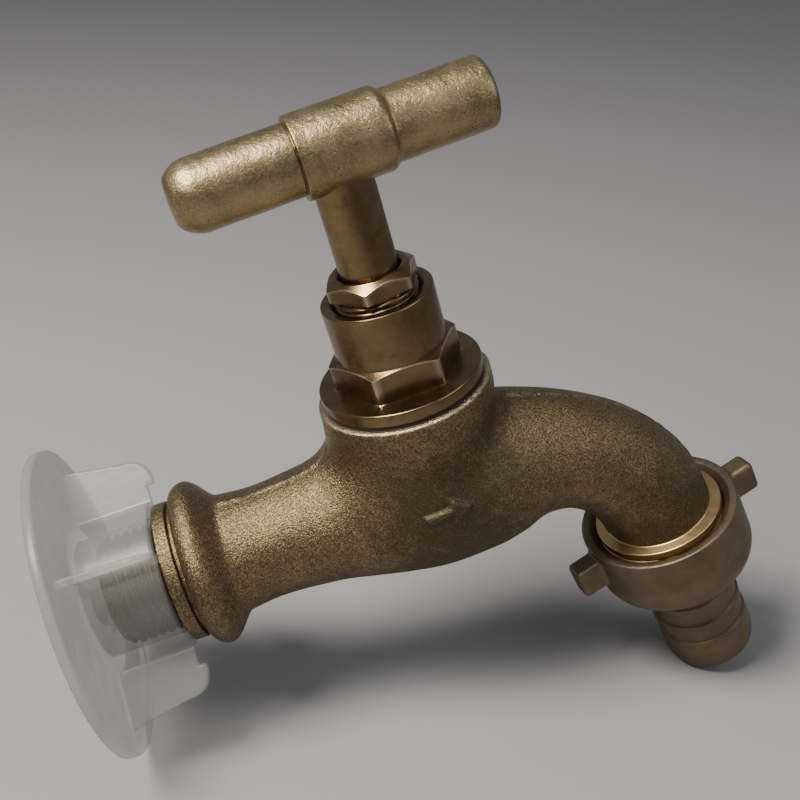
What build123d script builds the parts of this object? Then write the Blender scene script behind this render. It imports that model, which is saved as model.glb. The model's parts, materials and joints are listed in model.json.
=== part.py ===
from build123d import *
import math
import os

# Brass bib tap, G1/2 inlet, G3/4 hose union.  Millimetres.
# Origin: centre of the inlet shoulder, where the wall thread meets the flange ring.
# +X runs from the inlet towards the spout, +Z up along the spindle.

# ---- Driving dimensions ------------------------------------------------------
# Inlet, turned about the X axis
THREAD_R = 10.48            # G1/2 major radius
THREAD_L = 12.0
BORE_R = 7.0
RING_R = 13.4               # flange ring against the wall
RING_W = 2.6
GROOVE_R = 12.4
GROOVE_W = 1.0
BEAD_R = 15.9
BEAD_W = 5.6
NECK_R = 10.9

# Bulb and headgear, turned about the spindle axis
SPINDLE_X = 52.0
BULB_R = 15.9
SEAT_Z = 5.2                # top of the seat lip, where the jumper washer lands
FLOOR_Z = 4.0
SEAT_BORE_R = 5.2
CHAMBER_R = 10.6
RIM_R = 16.2
RIM_Z = 22.9                # top face of the body

WASHER_T = 0.8
BONNET_FLANGE_R = 15.2
BONNET_FLANGE_T = 2.3
BONNET_HEX_AF = 21.0
BONNET_HEX_H = 5.1
BARREL_R = 10.25
BARREL_TOP_Z = 42.1
SHANK_R = 10.45
SHANK_BOTTOM_Z = 14.0
SHANK_RECESS_R = 7.9        # room for the jumper's plate when the tap is open
SHANK_RECESS_Z = 16.8
BARREL_FLOOR_Z = 33.0       # underside of the stuffing box floor
STUFFING_FLOOR_Z = 34.5
STUFFING_R = 7.85

GLAND_R = 7.7
GLAND_HEX_AF = 14.9
GLAND_TOP_Z = 47.0
GLAND_HEX_H = 3.4
PACKING_R = 7.75
PACKING_RING_H = 1.5
GLAND_WASHER_T = 0.8

SPINDLE_R = 5.27
SPINDLE_THREAD_R = 6.95
SPINDLE_THREAD_BORE_R = 7.05
SPINDLE_FOOT_Z = 11.6
SPINDLE_SHOULDER_Z = 27.5
SPINDLE_TOP_Z = 61.4
TENON_R = 3.7
TENON_H = 8.0
JUMPER_STEM_R = 3.1

# T handle
HANDLE_Z = 69.2
HANDLE_TURN = 5.6           # degrees off the body's X axis when the tap is shut
BAR_R = 6.24
BAR_HALF = 28.1
BAR_END_ROUND = 4.4
BAND_R = 7.18
BAND_FROM = -6.6
BAND_TO = 9.6
GRUB_R = 2.0

# Spout and hose union, about the outlet axis
SPOUT_BEND_X = 66.4
SPOUT_BEND_R = 28.7
OUTLET_TILT = 10.3          # degrees that the outlet leans away from straight down
OUTLET_LEAD = 1.2           # from the end of the bend to the nut's mouth
OUTLET_BORE_R = 7.5
UNION_THREAD_R = 13.22      # G3/4 major radius
UNION_THREAD_L = 7.6
THREAD_GAP = 0.13
NUT_R = 16.4
NUT_WALL_L = 10.5
NUT_L = 16.0
NUT_MOUTH_R = 14.84
NUT_HOLE_R = 9.8
TAIL_WASHER_T = 1.6
TAIL_FLANGE_R = 11.9
TAIL_FLANGE_T = 2.2
TAIL_R = 9.6
TAIL_END = 40.0
TAIL_BORE_R = 6.5
LUG_TURN = -8.3             # degrees of the nut's lugs about the outlet axis
LUG_R = 21.8
LUG_WIDTH = 5.0
LUG_FROM = 1.4
LUG_L = 6.7

# Plastic transport cap, about the X axis
CAP_FACE_X = -17.6
CAP_DISC_T = 2.0
CAP_DISC_R = 30.0
CAP_TUBE_R = 14.2
CAP_TUBE_BORE_R = 11.35
CAP_MOUTH_X = -0.5
CAP_WING_R = 23.5
CAP_WING_INNER_R = 18.0
CAP_WING_TIP_X = 1.0
CAP_WING_T = 2.0
CAP_PLUG_R = 6.95
CAP_PLUG_L = 6.0

# ---- Frames -----------------------------------------------------------------
tilt = math.radians(OUTLET_TILT)
turned = math.pi / 2 - tilt
outlet_dir = Vector(math.sin(tilt), 0, -math.cos(tilt))
outlet_side = Vector(math.cos(tilt), 0, math.sin(tilt))
bend_end = Vector(
    SPOUT_BEND_X + SPOUT_BEND_R * math.sin(turned),
    0,
    -SPOUT_BEND_R * (1 - math.cos(turned)),
)
# The nut's mouth plane stands a little beyond the end of the bend.
mouth = bend_end + outlet_dir * OUTLET_LEAD

INLET = Plane(origin=(0, 0, 0), x_dir=(0, 0, 1), z_dir=(1, 0, 0))
VALVE = Plane(origin=(SPINDLE_X, 0, 0))
OUTLET = Plane(origin=mouth, x_dir=outlet_side, z_dir=outlet_dir)
HANDLE = Plane(origin=(SPINDLE_X, 0, HANDLE_Z)).rotated((0, 0, HANDLE_TURN))


# ---- Helpers ----------------------------------------------------------------
def lathe(*points):
    """Turn a closed outline of (radius, height) points about the local Z axis."""
    outline = Wire.make_polygon([(r, 0, h) for r, h in points], close=True)
    return revolve(Face(outline), Axis.Z)


def rod(radius, low, high):
    """A plain round bar on the local Z axis, from height low to height high."""
    return Pos(0, 0, low) * Cylinder(
        radius, high - low, align=(Align.CENTER, Align.CENTER, Align.MIN)
    )


def tube(outer, inner, low, high):
    """A round tube on the local Z axis."""
    return rod(outer, low, high) - rod(inner, low, high)


def hexagon(across_flats, low, high):
    """A hexagonal bar on the local Z axis."""
    face = RegularPolygon(across_flats / 2, 6, major_radius=False)
    return Pos(0, 0, low) * extrude(face, high - low)


def chamfered_hexagon(across_flats, low, high, drop):
    """A hexagonal bar whose top corners are turned off in a cone."""
    corner = across_flats / math.sqrt(3)
    land = across_flats / 2 * 0.97
    cone = lathe((0, low), (corner + 0.01, low), (corner + 0.01, high - drop), (land, high), (0, high))
    return hexagon(across_flats, low, high) & cone


def bend_plane(angle):
    """The plane across the spout at an angle round its bend, 0 at the bulb."""
    a = math.radians(angle)
    centre = (
        SPOUT_BEND_X + SPOUT_BEND_R * math.sin(a),
        0,
        -SPOUT_BEND_R * (1 - math.cos(a)),
    )
    return Plane(origin=centre, x_dir=(0, 1, 0), z_dir=(math.cos(a), 0, -math.sin(a)))


def save(shape, name):
    export_step(shape, f"parts/{name}.step")


# ---- Tap body ---------------------------------------------------------------
def body_neck():
    """Flange ring, groove, bead, neck and bulb, turned about the inlet axis."""
    bead_from = RING_W + GROOVE_W
    bead_to = bead_from + BEAD_W
    bead_foot = BEAD_R - 2.0
    edges = [
        Edge.make_line((0, 0, 0), (RING_R, 0, 0)),
        Edge.make_line((RING_R, 0, 0), (RING_R, 0, RING_W)),
        Edge.make_line((RING_R, 0, RING_W), (GROOVE_R, 0, RING_W)),
        Edge.make_line((GROOVE_R, 0, RING_W), (GROOVE_R, 0, bead_from)),
        Edge.make_line((GROOVE_R, 0, bead_from), (bead_foot, 0, bead_from)),
        Edge.make_three_point_arc(
            (bead_foot, 0, bead_from),
            (BEAD_R, 0, bead_from + BEAD_W / 2),
            (bead_foot, 0, bead_to),
        ),
        Edge.make_spline(
            [
                Vector(bead_foot, 0, bead_to),
                Vector(NECK_R + 0.3, 0, bead_to + 4.2),
                Vector(NECK_R, 0, 20.0),
                Vector(12.1, 0, 29.0),
                Vector(14.5, 0, 39.0),
                Vector(BULB_R, 0, SPINDLE_X),
                Vector(15.3, 0, 61.0),
                Vector(14.4, 0, SPOUT_BEND_X),
            ],
            tangents=[Vector(-1, 0, 0.6), Vector(-0.22, 0, 1)],
        ),
        Edge.make_line((14.4, 0, SPOUT_BEND_X), (0, 0, SPOUT_BEND_X)),
        Edge.make_line((0, 0, SPOUT_BEND_X), (0, 0, 0)),
    ]
    return INLET.location * revolve(Face(Wire(edges)), Axis.Z)


def body_chimney():
    """The upright cup that takes the headgear."""
    edges = [
        Edge.make_line((0, 0, 0), (15.6, 0, 0)),
        Edge.make_spline(
            [Vector(15.6, 0, 0), Vector(15.3, 0, 12.0), Vector(RIM_R - 0.1, 0, 19.6)],
            tangents=[Vector(0, 0, 1), Vector(0.1, 0, 1)],
        ),
        Edge.make_line((RIM_R - 0.1, 0, 19.6), (RIM_R, 0, RIM_Z - 0.6)),
        Edge.make_line((RIM_R, 0, RIM_Z - 0.6), (RIM_R - 0.6, 0, RIM_Z)),
        Edge.make_line((RIM_R - 0.6, 0, RIM_Z), (0, 0, RIM_Z)),
        Edge.make_line((0, 0, RIM_Z), (0, 0, 0)),
    ]
    return VALVE.location * revolve(Face(Wire(edges)), Axis.Z)


def body_spout():
    """The tapering spout, lofted round its bend."""
    stations = ((0, 14.4), (14, 12.7), (32, 11.6), (52, 11.1), (math.degrees(turned), 11.0))
    sections = [bend_plane(angle) * Circle(radius) for angle, radius in stations]
    return loft(sections)


def body_passages():
    """Everything the water fills: inlet bore, under-seat pocket, chamber, outlet."""
    slope_from = (24.0, 0, 0)
    drop = -6.6
    slope = Plane(origin=slope_from, z_dir=(SPINDLE_X - slope_from[0], 0, drop))
    run = math.hypot(SPINDLE_X - slope_from[0], drop)
    inlet = INLET.location * rod(BORE_R, -THREAD_L - 1, 28.0) + slope.location * rod(6.2, 0, run)
    pocket = Pos(SPINDLE_X, 0, -6.2) * Sphere(7.2)
    seat = VALVE.location * rod(SEAT_BORE_R, -6.0, SEAT_Z + 1)
    chamber = VALVE.location * rod(CHAMBER_R, FLOOR_Z, RIM_Z + 1)
    lip = VALVE.location * tube(SEAT_BORE_R + 1.4, SEAT_BORE_R, FLOOR_Z - 1, SEAT_Z)
    start = Plane(origin=(SPINDLE_X + 5, 0, 11.2), x_dir=(0, 1, 0), z_dir=(1, 0, -0.35))
    stations = (3, 17, 33, 49, 65, math.degrees(turned))
    bend = [bend_plane(a) * Circle(6.5 + 0.15 * i) for i, a in enumerate(stations)]
    bend = loft([start * Circle(5.2)] + bend)
    outlet = OUTLET.location * rod(OUTLET_BORE_R, -1.6, UNION_THREAD_L + 1)
    return (inlet + pocket + seat + chamber - lip) + bend + outlet


def union_thread():
    """The G3/4 spigot on the spout, with the collar that leads into it."""
    return OUTLET.location * lathe(
        (0, -OUTLET_LEAD),
        (11.0, -OUTLET_LEAD),
        (11.5, -0.6),
        (UNION_THREAD_R - 0.3, 0.3),
        (UNION_THREAD_R, 0.8),
        (UNION_THREAD_R, UNION_THREAD_L - 0.8),
        (UNION_THREAD_R - 0.9, UNION_THREAD_L),
        (0, UNION_THREAD_L),
    )


def inlet_thread():
    """The G1/2 spigot, with a chamfered end."""
    return INLET.location * lathe(
        (0, -THREAD_L),
        (THREAD_R - 0.9, -THREAD_L),
        (THREAD_R, -THREAD_L + 0.9),
        (THREAD_R, 0.5),
        (0, 0.5),
    )


def tap_body():
    shell = body_neck() + body_chimney() + body_spout() + union_thread() + inlet_thread()
    return shell - body_passages()


# ---- Headgear ---------------------------------------------------------------
flange_z = RIM_Z + WASHER_T
hex_z = flange_z + BONNET_FLANGE_T
barrel_z = hex_z + BONNET_HEX_H
packing_z = STUFFING_FLOOR_Z + GLAND_WASHER_T
gland_skirt_z = packing_z + 2 * PACKING_RING_H
gland_hex_z = GLAND_TOP_Z - GLAND_HEX_H


def bonnet():
    turned_part = lathe(
        (0, SHANK_BOTTOM_Z),
        (SHANK_R - 0.8, SHANK_BOTTOM_Z),
        (SHANK_R, SHANK_BOTTOM_Z + 0.8),
        (SHANK_R, flange_z),
        (BONNET_FLANGE_R, flange_z),
        (BONNET_FLANGE_R, hex_z - 0.5),
        (BONNET_FLANGE_R - 0.5, hex_z),
        (BARREL_R, hex_z),
        (BARREL_R, BARREL_TOP_Z - 0.5),
        (BARREL_R - 0.5, BARREL_TOP_Z),
        (0, BARREL_TOP_Z),
    )
    # A corner of the hexagon faces the front left of the tap.
    flats = Rot(0, 0, 1.3) * chamfered_hexagon(BONNET_HEX_AF, hex_z, barrel_z, 1.4)
    bore = lathe(
        (0, SHANK_BOTTOM_Z - 1),
        (SHANK_RECESS_R, SHANK_BOTTOM_Z - 1),
        (SHANK_RECESS_R, SHANK_RECESS_Z),
        (SPINDLE_THREAD_BORE_R, SHANK_RECESS_Z),
        (SPINDLE_THREAD_BORE_R, BARREL_FLOOR_Z),
        (SPINDLE_R + 0.08, BARREL_FLOOR_Z),
        (SPINDLE_R + 0.08, STUFFING_FLOOR_Z),
        (STUFFING_R, STUFFING_FLOOR_Z),
        (STUFFING_R, BARREL_TOP_Z - 0.6),
        (STUFFING_R + 0.6, BARREL_TOP_Z),
        (STUFFING_R + 0.6, BARREL_TOP_Z + 1),
        (0, BARREL_TOP_Z + 1),
    )
    return VALVE.location * (turned_part + flats - bore)


def bonnet_washer():
    return VALVE.location * tube(BONNET_FLANGE_R - 0.2, SHANK_R + 0.15, RIM_Z, flange_z)


def gland_washer():
    return VALVE.location * tube(
        STUFFING_R - 0.1, SPINDLE_R + 0.15, STUFFING_FLOOR_Z, packing_z
    )


def gland_packing():
    """Two square packing rings, one on the other."""
    rings = [
        tube(PACKING_R, SPINDLE_R + 0.05, low, low + PACKING_RING_H - 0.05)
        for low in (packing_z, packing_z + PACKING_RING_H)
    ]
    return VALVE.location * Compound(children=rings)


def gland_nut():
    skirt = rod(GLAND_R, gland_skirt_z, gland_hex_z)
    flats = Rot(0, 0, 12) * chamfered_hexagon(GLAND_HEX_AF, gland_hex_z, GLAND_TOP_Z, 1.2)
    hole = rod(SPINDLE_R + 0.1, gland_skirt_z - 1, GLAND_TOP_Z + 1)
    return VALVE.location * (skirt + flats - hole)


def spindle():
    shaft = lathe(
        (0, SPINDLE_FOOT_Z),
        (SPINDLE_THREAD_R - 0.6, SPINDLE_FOOT_Z),
        (SPINDLE_THREAD_R, SPINDLE_FOOT_Z + 0.6),
        (SPINDLE_THREAD_R, SPINDLE_SHOULDER_Z - 0.6),
        (SPINDLE_R, SPINDLE_SHOULDER_Z),
        (SPINDLE_R, SPINDLE_TOP_Z),
        (TENON_R, SPINDLE_TOP_Z),
        (TENON_R, SPINDLE_TOP_Z + TENON_H),
        (0, SPINDLE_TOP_Z + TENON_H),
    )
    socket = rod(JUMPER_STEM_R + 0.1, SPINDLE_FOOT_Z - 1, SPINDLE_FOOT_Z + 12)
    return VALVE.location * (shaft - socket)


def jumper_valve():
    washer_top = SEAT_Z + 3.0
    return VALVE.location * lathe(
        (0, 1.4),
        (1.9, 1.4),
        (1.9, washer_top),
        (7.6, washer_top),
        (7.6, SPINDLE_FOOT_Z - 0.8),
        (6.8, SPINDLE_FOOT_Z - 0.1),
        (JUMPER_STEM_R, SPINDLE_FOOT_Z - 0.1),
        (JUMPER_STEM_R, SPINDLE_FOOT_Z + 11),
        (0, SPINDLE_FOOT_Z + 11),
    )


def jumper_washer():
    return VALVE.location * tube(7.3, 1.95, SEAT_Z, SEAT_Z + 3.0)


def jumper_nut():
    return VALVE.location * (hexagon(7.0, SEAT_Z - 2.6, SEAT_Z) - rod(1.95, 0, SEAT_Z + 1))


# ---- T handle ---------------------------------------------------------------
def crutch_handle():
    """Bar, raised middle band and short neck, one casting."""
    bar = Rot(0, 90, 0) * rod(BAR_R, -BAR_HALF, BAR_HALF)
    ends = bar.edges().filter_by(GeomType.CIRCLE)
    bar = fillet(ends, BAR_END_ROUND)
    band = Rot(0, 90, 0) * lathe(
        (0, BAND_FROM),
        (BAND_R, BAND_FROM),
        (BAND_R, BAND_TO - 1.0),
        (BAND_R - 0.3, BAND_TO - 0.4),
        (BAR_R, BAND_TO),
        (0, BAND_TO),
    )
    neck = rod(SPINDLE_R, SPINDLE_TOP_Z - HANDLE_Z, 0)
    socket = rod(TENON_R + 0.03, SPINDLE_TOP_Z - HANDLE_Z - 1, SPINDLE_TOP_Z + TENON_H - HANDLE_Z + 0.3)
    screw_hole = Rot(-90, 0, 0) * rod(GRUB_R + 0.05, 2.0, BAND_R + 1)
    return HANDLE.location * (bar + band + neck - socket - screw_hole)


def handle_grub_screw():
    screw = rod(GRUB_R, TENON_R, BAND_R - 0.5)
    key = hexagon(2.0, BAND_R - 2.2, BAND_R)
    return HANDLE.location * (Rot(-90, 0, 0) * (screw - key))


# ---- Hose union -------------------------------------------------------------
washer_h = UNION_THREAD_L
flange_h = washer_h + TAIL_WASHER_T
shoulder_h = flange_h + TAIL_FLANGE_T


def lug():
    """One lug of the nut, reaching out along the local X axis."""
    reach = LUG_R - NUT_R + 2.5
    block = Pos(NUT_R - 2.5, 0, LUG_FROM) * Box(
        reach, LUG_WIDTH, LUG_L, align=(Align.MIN, Align.CENTER, Align.MIN)
    )
    return fillet(block.edges().filter_by(Axis.Z), 1.0)


def wing_nut():
    bowl = [
        Edge.make_line((NUT_MOUTH_R, 0, 0), (NUT_R - 0.4, 0, 0)),
        Edge.make_line((NUT_R - 0.4, 0, 0), (NUT_R, 0, 0.4)),
        Edge.make_line((NUT_R, 0, 0.4), (NUT_R, 0, NUT_WALL_L)),
        Edge.make_three_point_arc(
            (NUT_R, 0, NUT_WALL_L), (NUT_R - 1.5, 0, NUT_L - 1.7), (NUT_R - 5.3, 0, NUT_L)
        ),
        Edge.make_line((NUT_R - 5.3, 0, NUT_L), (NUT_HOLE_R, 0, NUT_L)),
        Edge.make_line((NUT_HOLE_R, 0, NUT_L), (NUT_HOLE_R, 0, shoulder_h + 0.1)),
        Edge.make_line(
            (NUT_HOLE_R, 0, shoulder_h + 0.1), (UNION_THREAD_R + THREAD_GAP, 0, shoulder_h + 0.1)
        ),
        Edge.make_line(
            (UNION_THREAD_R + THREAD_GAP, 0, shoulder_h + 0.1), (UNION_THREAD_R + THREAD_GAP, 0, 1.6)
        ),
        Edge.make_line((UNION_THREAD_R + THREAD_GAP, 0, 1.6), (NUT_MOUTH_R, 0, 0)),
    ]
    nut = revolve(Face(Wire(bowl)), Axis.Z)
    inside = rod(UNION_THREAD_R + THREAD_GAP, -1, shoulder_h + 0.1)
    lugs = [Rot(0, 0, LUG_TURN + turn) * lug() for turn in (0, 180)]
    return OUTLET.location * (nut + lugs[0] + lugs[1] - inside)


def tail_washer():
    return OUTLET.location * tube(TAIL_FLANGE_R, OUTLET_BORE_R, washer_h, flange_h)


def hose_tail():
    """Flanged tail with three shallow barbs and a rounded end."""
    root = TAIL_R - 0.45
    barbs = [
        (TAIL_R - 0.2, shoulder_h),
        (TAIL_R - 0.2, 18.5),
        (root, 20.6),
        (TAIL_R, 20.9),
        (TAIL_R, 21.5),
        (root, 25.9),
        (TAIL_R, 26.2),
        (TAIL_R, 26.8),
        (root, 31.2),
        (TAIL_R, 31.5),
        (TAIL_R, 37.6),
        (TAIL_R - 0.4, 39.2),
        (TAIL_R - 1.0, TAIL_END),
    ]
    outline = [(TAIL_BORE_R, flange_h), (TAIL_FLANGE_R, flange_h), (TAIL_FLANGE_R, shoulder_h)]
    outline += barbs + [(TAIL_BORE_R, TAIL_END)]
    return OUTLET.location * lathe(*outline)


# ---- Transport cap ----------------------------------------------------------
def cap_wing():
    """One radial web, standing on the disc, its free corner rounded off."""
    back = CAP_FACE_X + CAP_DISC_T - 0.5
    corner = 5.0
    profile = [
        Edge.make_line((CAP_TUBE_R - 0.8, 0, back), (CAP_WING_R + 2.0, 0, back)),
        Edge.make_line((CAP_WING_R + 2.0, 0, back), (CAP_WING_R, 0, CAP_WING_TIP_X - corner)),
        Edge.make_three_point_arc(
            (CAP_WING_R, 0, CAP_WING_TIP_X - corner),
            (CAP_WING_R - 1.3, 0, CAP_WING_TIP_X - 1.3),
            (CAP_WING_R - 3.2, 0, CAP_WING_TIP_X),
        ),
        Edge.make_line(
            (CAP_WING_R - 3.2, 0, CAP_WING_TIP_X), (CAP_WING_INNER_R, 0, CAP_WING_TIP_X)
        ),
        Edge.make_line(
            (CAP_WING_INNER_R, 0, CAP_WING_TIP_X), (CAP_WING_INNER_R - 0.6, 0, CAP_MOUTH_X)
        ),
        Edge.make_line(
            (CAP_WING_INNER_R - 0.6, 0, CAP_MOUTH_X), (CAP_TUBE_R - 0.8, 0, CAP_MOUTH_X)
        ),
        Edge.make_line((CAP_TUBE_R - 0.8, 0, CAP_MOUTH_X), (CAP_TUBE_R - 0.8, 0, back)),
    ]
    return extrude(Face(Wire(profile)), CAP_WING_T / 2, dir=(0, 1, 0), both=True)


def inlet_cap():
    inside = CAP_FACE_X + CAP_DISC_T
    disc = fillet(rod(CAP_DISC_R, CAP_FACE_X, inside).edges().filter_by(GeomType.CIRCLE), 0.6)
    sleeve = tube(CAP_TUBE_R, CAP_TUBE_BORE_R, inside - 0.5, CAP_MOUTH_X)
    plug = tube(CAP_PLUG_R, CAP_PLUG_R - 1.6, inside - 0.5, -THREAD_L + CAP_PLUG_L)
    cap = disc + sleeve + plug
    for quarter in range(4):
        cap += Rot(0, 0, 45 + 90 * quarter) * cap_wing()
    return INLET.location * cap


# ---- Write every piece ------------------------------------------------------
os.makedirs("parts", exist_ok=True)

PIECES = {
    "tap_body": tap_body,
    "inlet_cap": inlet_cap,
    "bonnet": bonnet,
    "bonnet_washer": bonnet_washer,
    "gland_washer": gland_washer,
    "gland_packing": gland_packing,
    "gland_nut": gland_nut,
    "spindle": spindle,
    "jumper_valve": jumper_valve,
    "jumper_washer": jumper_washer,
    "jumper_nut": jumper_nut,
    "crutch_handle": crutch_handle,
    "handle_grub_screw": handle_grub_screw,
    "wing_nut": wing_nut,
    "tail_washer": tail_washer,
    "hose_tail": hose_tail,
}

for name, make in PIECES.items():
    save(make(), name)
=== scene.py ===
"""Brass hose bib with a T handle, a plastic transport cap and a hose union.

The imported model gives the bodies, the joints and the places of the parts.  This script
makes the castings, turnings and finishes that are seen, and the stage around them.
Lengths inside the functions are in millimetres, and meshes are written in metres.
"""
import json
import math

import bmesh
import bpy
import numpy as np
from bpy.props import FloatProperty, FloatVectorProperty, PointerProperty
from mathutils import Matrix, Vector


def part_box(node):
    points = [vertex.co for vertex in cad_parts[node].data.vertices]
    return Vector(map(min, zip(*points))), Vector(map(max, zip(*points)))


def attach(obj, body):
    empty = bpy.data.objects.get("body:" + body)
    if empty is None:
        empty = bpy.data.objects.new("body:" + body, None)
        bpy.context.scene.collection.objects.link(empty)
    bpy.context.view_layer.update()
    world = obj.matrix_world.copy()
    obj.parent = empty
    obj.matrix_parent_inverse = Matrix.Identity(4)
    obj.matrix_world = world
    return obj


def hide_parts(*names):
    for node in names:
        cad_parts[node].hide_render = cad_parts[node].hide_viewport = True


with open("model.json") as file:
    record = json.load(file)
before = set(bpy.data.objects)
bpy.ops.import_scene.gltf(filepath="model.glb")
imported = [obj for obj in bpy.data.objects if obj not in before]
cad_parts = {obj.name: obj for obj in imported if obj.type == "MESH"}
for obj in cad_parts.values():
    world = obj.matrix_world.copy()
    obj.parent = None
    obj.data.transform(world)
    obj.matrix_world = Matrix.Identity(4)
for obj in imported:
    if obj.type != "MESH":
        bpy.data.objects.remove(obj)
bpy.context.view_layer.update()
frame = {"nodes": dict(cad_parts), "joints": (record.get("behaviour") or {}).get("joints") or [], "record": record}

bl_info = {
    "name": "Hose Bib",
    "version": (1, 0, 0),
    "blender": (4, 5, 0),
    "location": "3D View > Sidebar > Hose Bib",
    "description": "Builds a brass hose bib around its packed frame",
    "category": "Add Mesh",
}

MM = 0.001

# ---- Places read from the frame ---------------------------------------------
JOINTS = {joint["name"]: joint for joint in frame["joints"]}


def node_span(node, axis):
    """Lowest and highest place of a CAD node along a row axis, in millimetres."""
    low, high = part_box(node)
    return low[axis] / MM, high[axis] / MM


SPINDLE_X = JOINTS["spindle_turn"]["pos_m"][0] / MM
OUTLET_DIR = np.array(JOINTS["nut_turn"]["axis"], float)
OUTLET_SIDE = np.array([-OUTLET_DIR[2], 0.0, OUTLET_DIR[0]])
OUTLET_TURN = math.acos(OUTLET_DIR[0])  # how far the spout turns down from +X
UP = np.array([0.0, 0.0, 1.0])
ACROSS = np.array([0.0, 1.0, 0.0])
ALONG = np.array([1.0, 0.0, 0.0])
RIM_Z = node_span("bonnet_washer", 2)[0]
FLANGE_Z = node_span("bonnet_washer", 2)[1]
BARREL_TOP_Z = node_span("bonnet", 2)[1]
GLAND_TOP_Z = node_span("gland_nut", 2)[1]
HANDLE_Z = sum(node_span("handle_grub_screw", 2)) / 2
HANDLE_TURN = math.radians(5.6)
HANDLE_DIR = np.array([math.cos(HANDLE_TURN), math.sin(HANDLE_TURN), 0.0])


# ---- Settings that a user would change --------------------------------------
def length(label, about, value):
    """A length property, given in millimetres and kept in metres."""
    return FloatProperty(
        name=label, description=about, default=value * MM, unit="LENGTH", precision=5, min=0.0
    )


def colour(label, about, value):
    """A colour property, in linear light."""
    return FloatVectorProperty(
        name=label, description=about, default=value, size=3, subtype="COLOR", min=0.0, max=1.0
    )


class BodySizes(bpy.types.PropertyGroup):
    """Sizes of the cast body."""

    thread_r: length("Inlet thread radius", "Major radius of the wall thread", 10.48)
    thread_pitch: length("Thread pitch", "Pitch of both pipe threads", 1.814)
    bore_r: length("Inlet bore radius", "Radius of the water way", 7.0)
    ring_r: length("Flange ring radius", "Ring that meets the wall", 13.4)
    ring_w: length("Flange ring width", "Width of the flange ring", 2.6)
    groove_r: length("Groove radius", "Groove between ring and bead", 12.4)
    groove_w: length("Groove width", "Width of that groove", 1.0)
    bead_r: length("Bead radius", "Round bead behind the flange ring", 15.9)
    neck_r: length("Neck radius", "Narrowest part of the neck", 10.9)
    bulb_r: length("Bulb radius", "Round of the body under the spindle", 15.8)
    rim_r: length("Rim radius", "Cup that takes the headgear", 16.2)
    spout_r: length("Spout radius", "Spout just above the hose union", 11.0)
    bend_x: length("Bend start", "Where the spout begins to turn down", 66.4)
    bend_r: length("Bend radius", "Radius of the spout's centre line", 28.7)
    lead: length("Outlet lead", "From the end of the bend to the nut's mouth", 1.2)
    collar_r: length("Collar radius", "Major radius of the hose union thread", 13.22)


class HeadgearSizes(bpy.types.PropertyGroup):
    """Sizes of the bonnet and the gland nut."""

    flange_r: length("Bonnet flange radius", "Round flange on the body's rim", 15.2)
    flange_t: length("Bonnet flange thickness", "Height of that flange", 2.3)
    hex_af: length("Bonnet hexagon", "Across flats", 21.0)
    hex_h: length("Bonnet hexagon height", "Height of its corners", 5.1)
    barrel_r: length("Barrel radius", "Turned barrel over the hexagon", 10.25)
    stuffing_r: length("Stuffing box radius", "Bore that takes the gland nut", 7.85)
    gland_r: length("Gland collar radius", "Round collar under the gland hexagon", 7.7)
    gland_af: length("Gland hexagon", "Across flats", 14.9)
    gland_hex_h: length("Gland hexagon height", "Height of the gland hexagon", 3.4)


class StemSizes(bpy.types.PropertyGroup):
    """Sizes of the spindle and the T handle."""

    spindle_r: length("Spindle radius", "Turned spindle", 5.27)
    bar_r: length("Bar radius", "Arms of the T handle", 6.24)
    bar_half: length("Bar half length", "From the spindle to either end", 28.1)
    band_r: length("Band radius", "Raised middle band", 7.18)
    band_left: length("Band left", "From the spindle to the band's inlet side", 6.6)
    band_right: length("Band right", "From the spindle to the band's spout side", 9.6)


class UnionSizes(bpy.types.PropertyGroup):
    """Sizes of the wing nut and the hose tail."""

    nut_r: length("Nut radius", "Outside of the wing nut", 16.4)
    nut_l: length("Nut length", "Along the outlet", 16.0)
    wall_l: length("Nut wall length", "Straight wall before the bottom rounds in", 10.55)
    mouth_r: length("Nut mouth radius", "Chamfer at the nut's mouth", 14.84)
    hole_r: length("Nut hole radius", "Hole that the tail passes through", 9.8)
    lug_r: length("Lug reach", "From the outlet axis to a lug's tip", 21.8)
    lug_w: length("Lug width", "Across a lug", 5.0)
    lug_h: length("Lug height", "Along the outlet", 6.7)
    lug_from: length("Lug start", "From the nut's mouth to a lug", 1.4)
    tail_r: length("Tail radius", "Outside of the barbs", 9.6)
    tail_bore_r: length("Tail bore radius", "Water way of the tail", 6.5)
    tail_end: length("Tail end", "From the nut's mouth to the tail's end", 40.0)


class CapSizes(bpy.types.PropertyGroup):
    """Sizes of the plastic transport cap."""

    disc_r: length("Disc radius", "Round disc over the inlet", 30.0)
    disc_t: length("Disc thickness", "Thickness of the disc", 2.0)
    tube_r: length("Tube radius", "Outside of the tube over the thread", 14.2)
    tube_bore_r: length("Tube bore radius", "Inside of that tube", 11.35)
    wing_r: length("Wing reach", "From the axis to a wing's tip", 23.5)
    wing_inner_r: length("Wing hook", "Inside edge of a wing beyond the tube", 18.0)
    wing_t: length("Wing thickness", "Thickness of a wing", 2.0)
    plug_r: length("Plug radius", "Plug inside the inlet bore", 6.95)


class Finishes(bpy.types.PropertyGroup):
    """Colours of the metals and the plastic, in linear light."""

    cast: colour("Cast brass", "Body casting", (0.205, 0.152, 0.080))
    # Patina colour, also painted on the casting's underside as shade.
    patina_and_shade: colour("Patina", "Darker, greener film on the casting", (0.062, 0.054, 0.031))
    handle: colour("Handle brass", "T handle", (0.30, 0.232, 0.125))
    turned: colour("Turned brass", "Bonnet, gland nut and spindle", (0.215, 0.145, 0.072))
    union: colour("Union brass", "Wing nut and hose tail", (0.175, 0.135, 0.085))
    plastic: colour("Cap plastic", "Milky plastic", (0.26, 0.26, 0.232))
    # Near black: dark fibre, deepened as painted shade of the gap between the bonnet flange and the rim.
    fibre: colour("Fibre", "Bonnet washer", (0.016, 0.009, 0.006))
    floor: colour("Floor", "Plain floor", (0.31, 0.298, 0.298))


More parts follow.
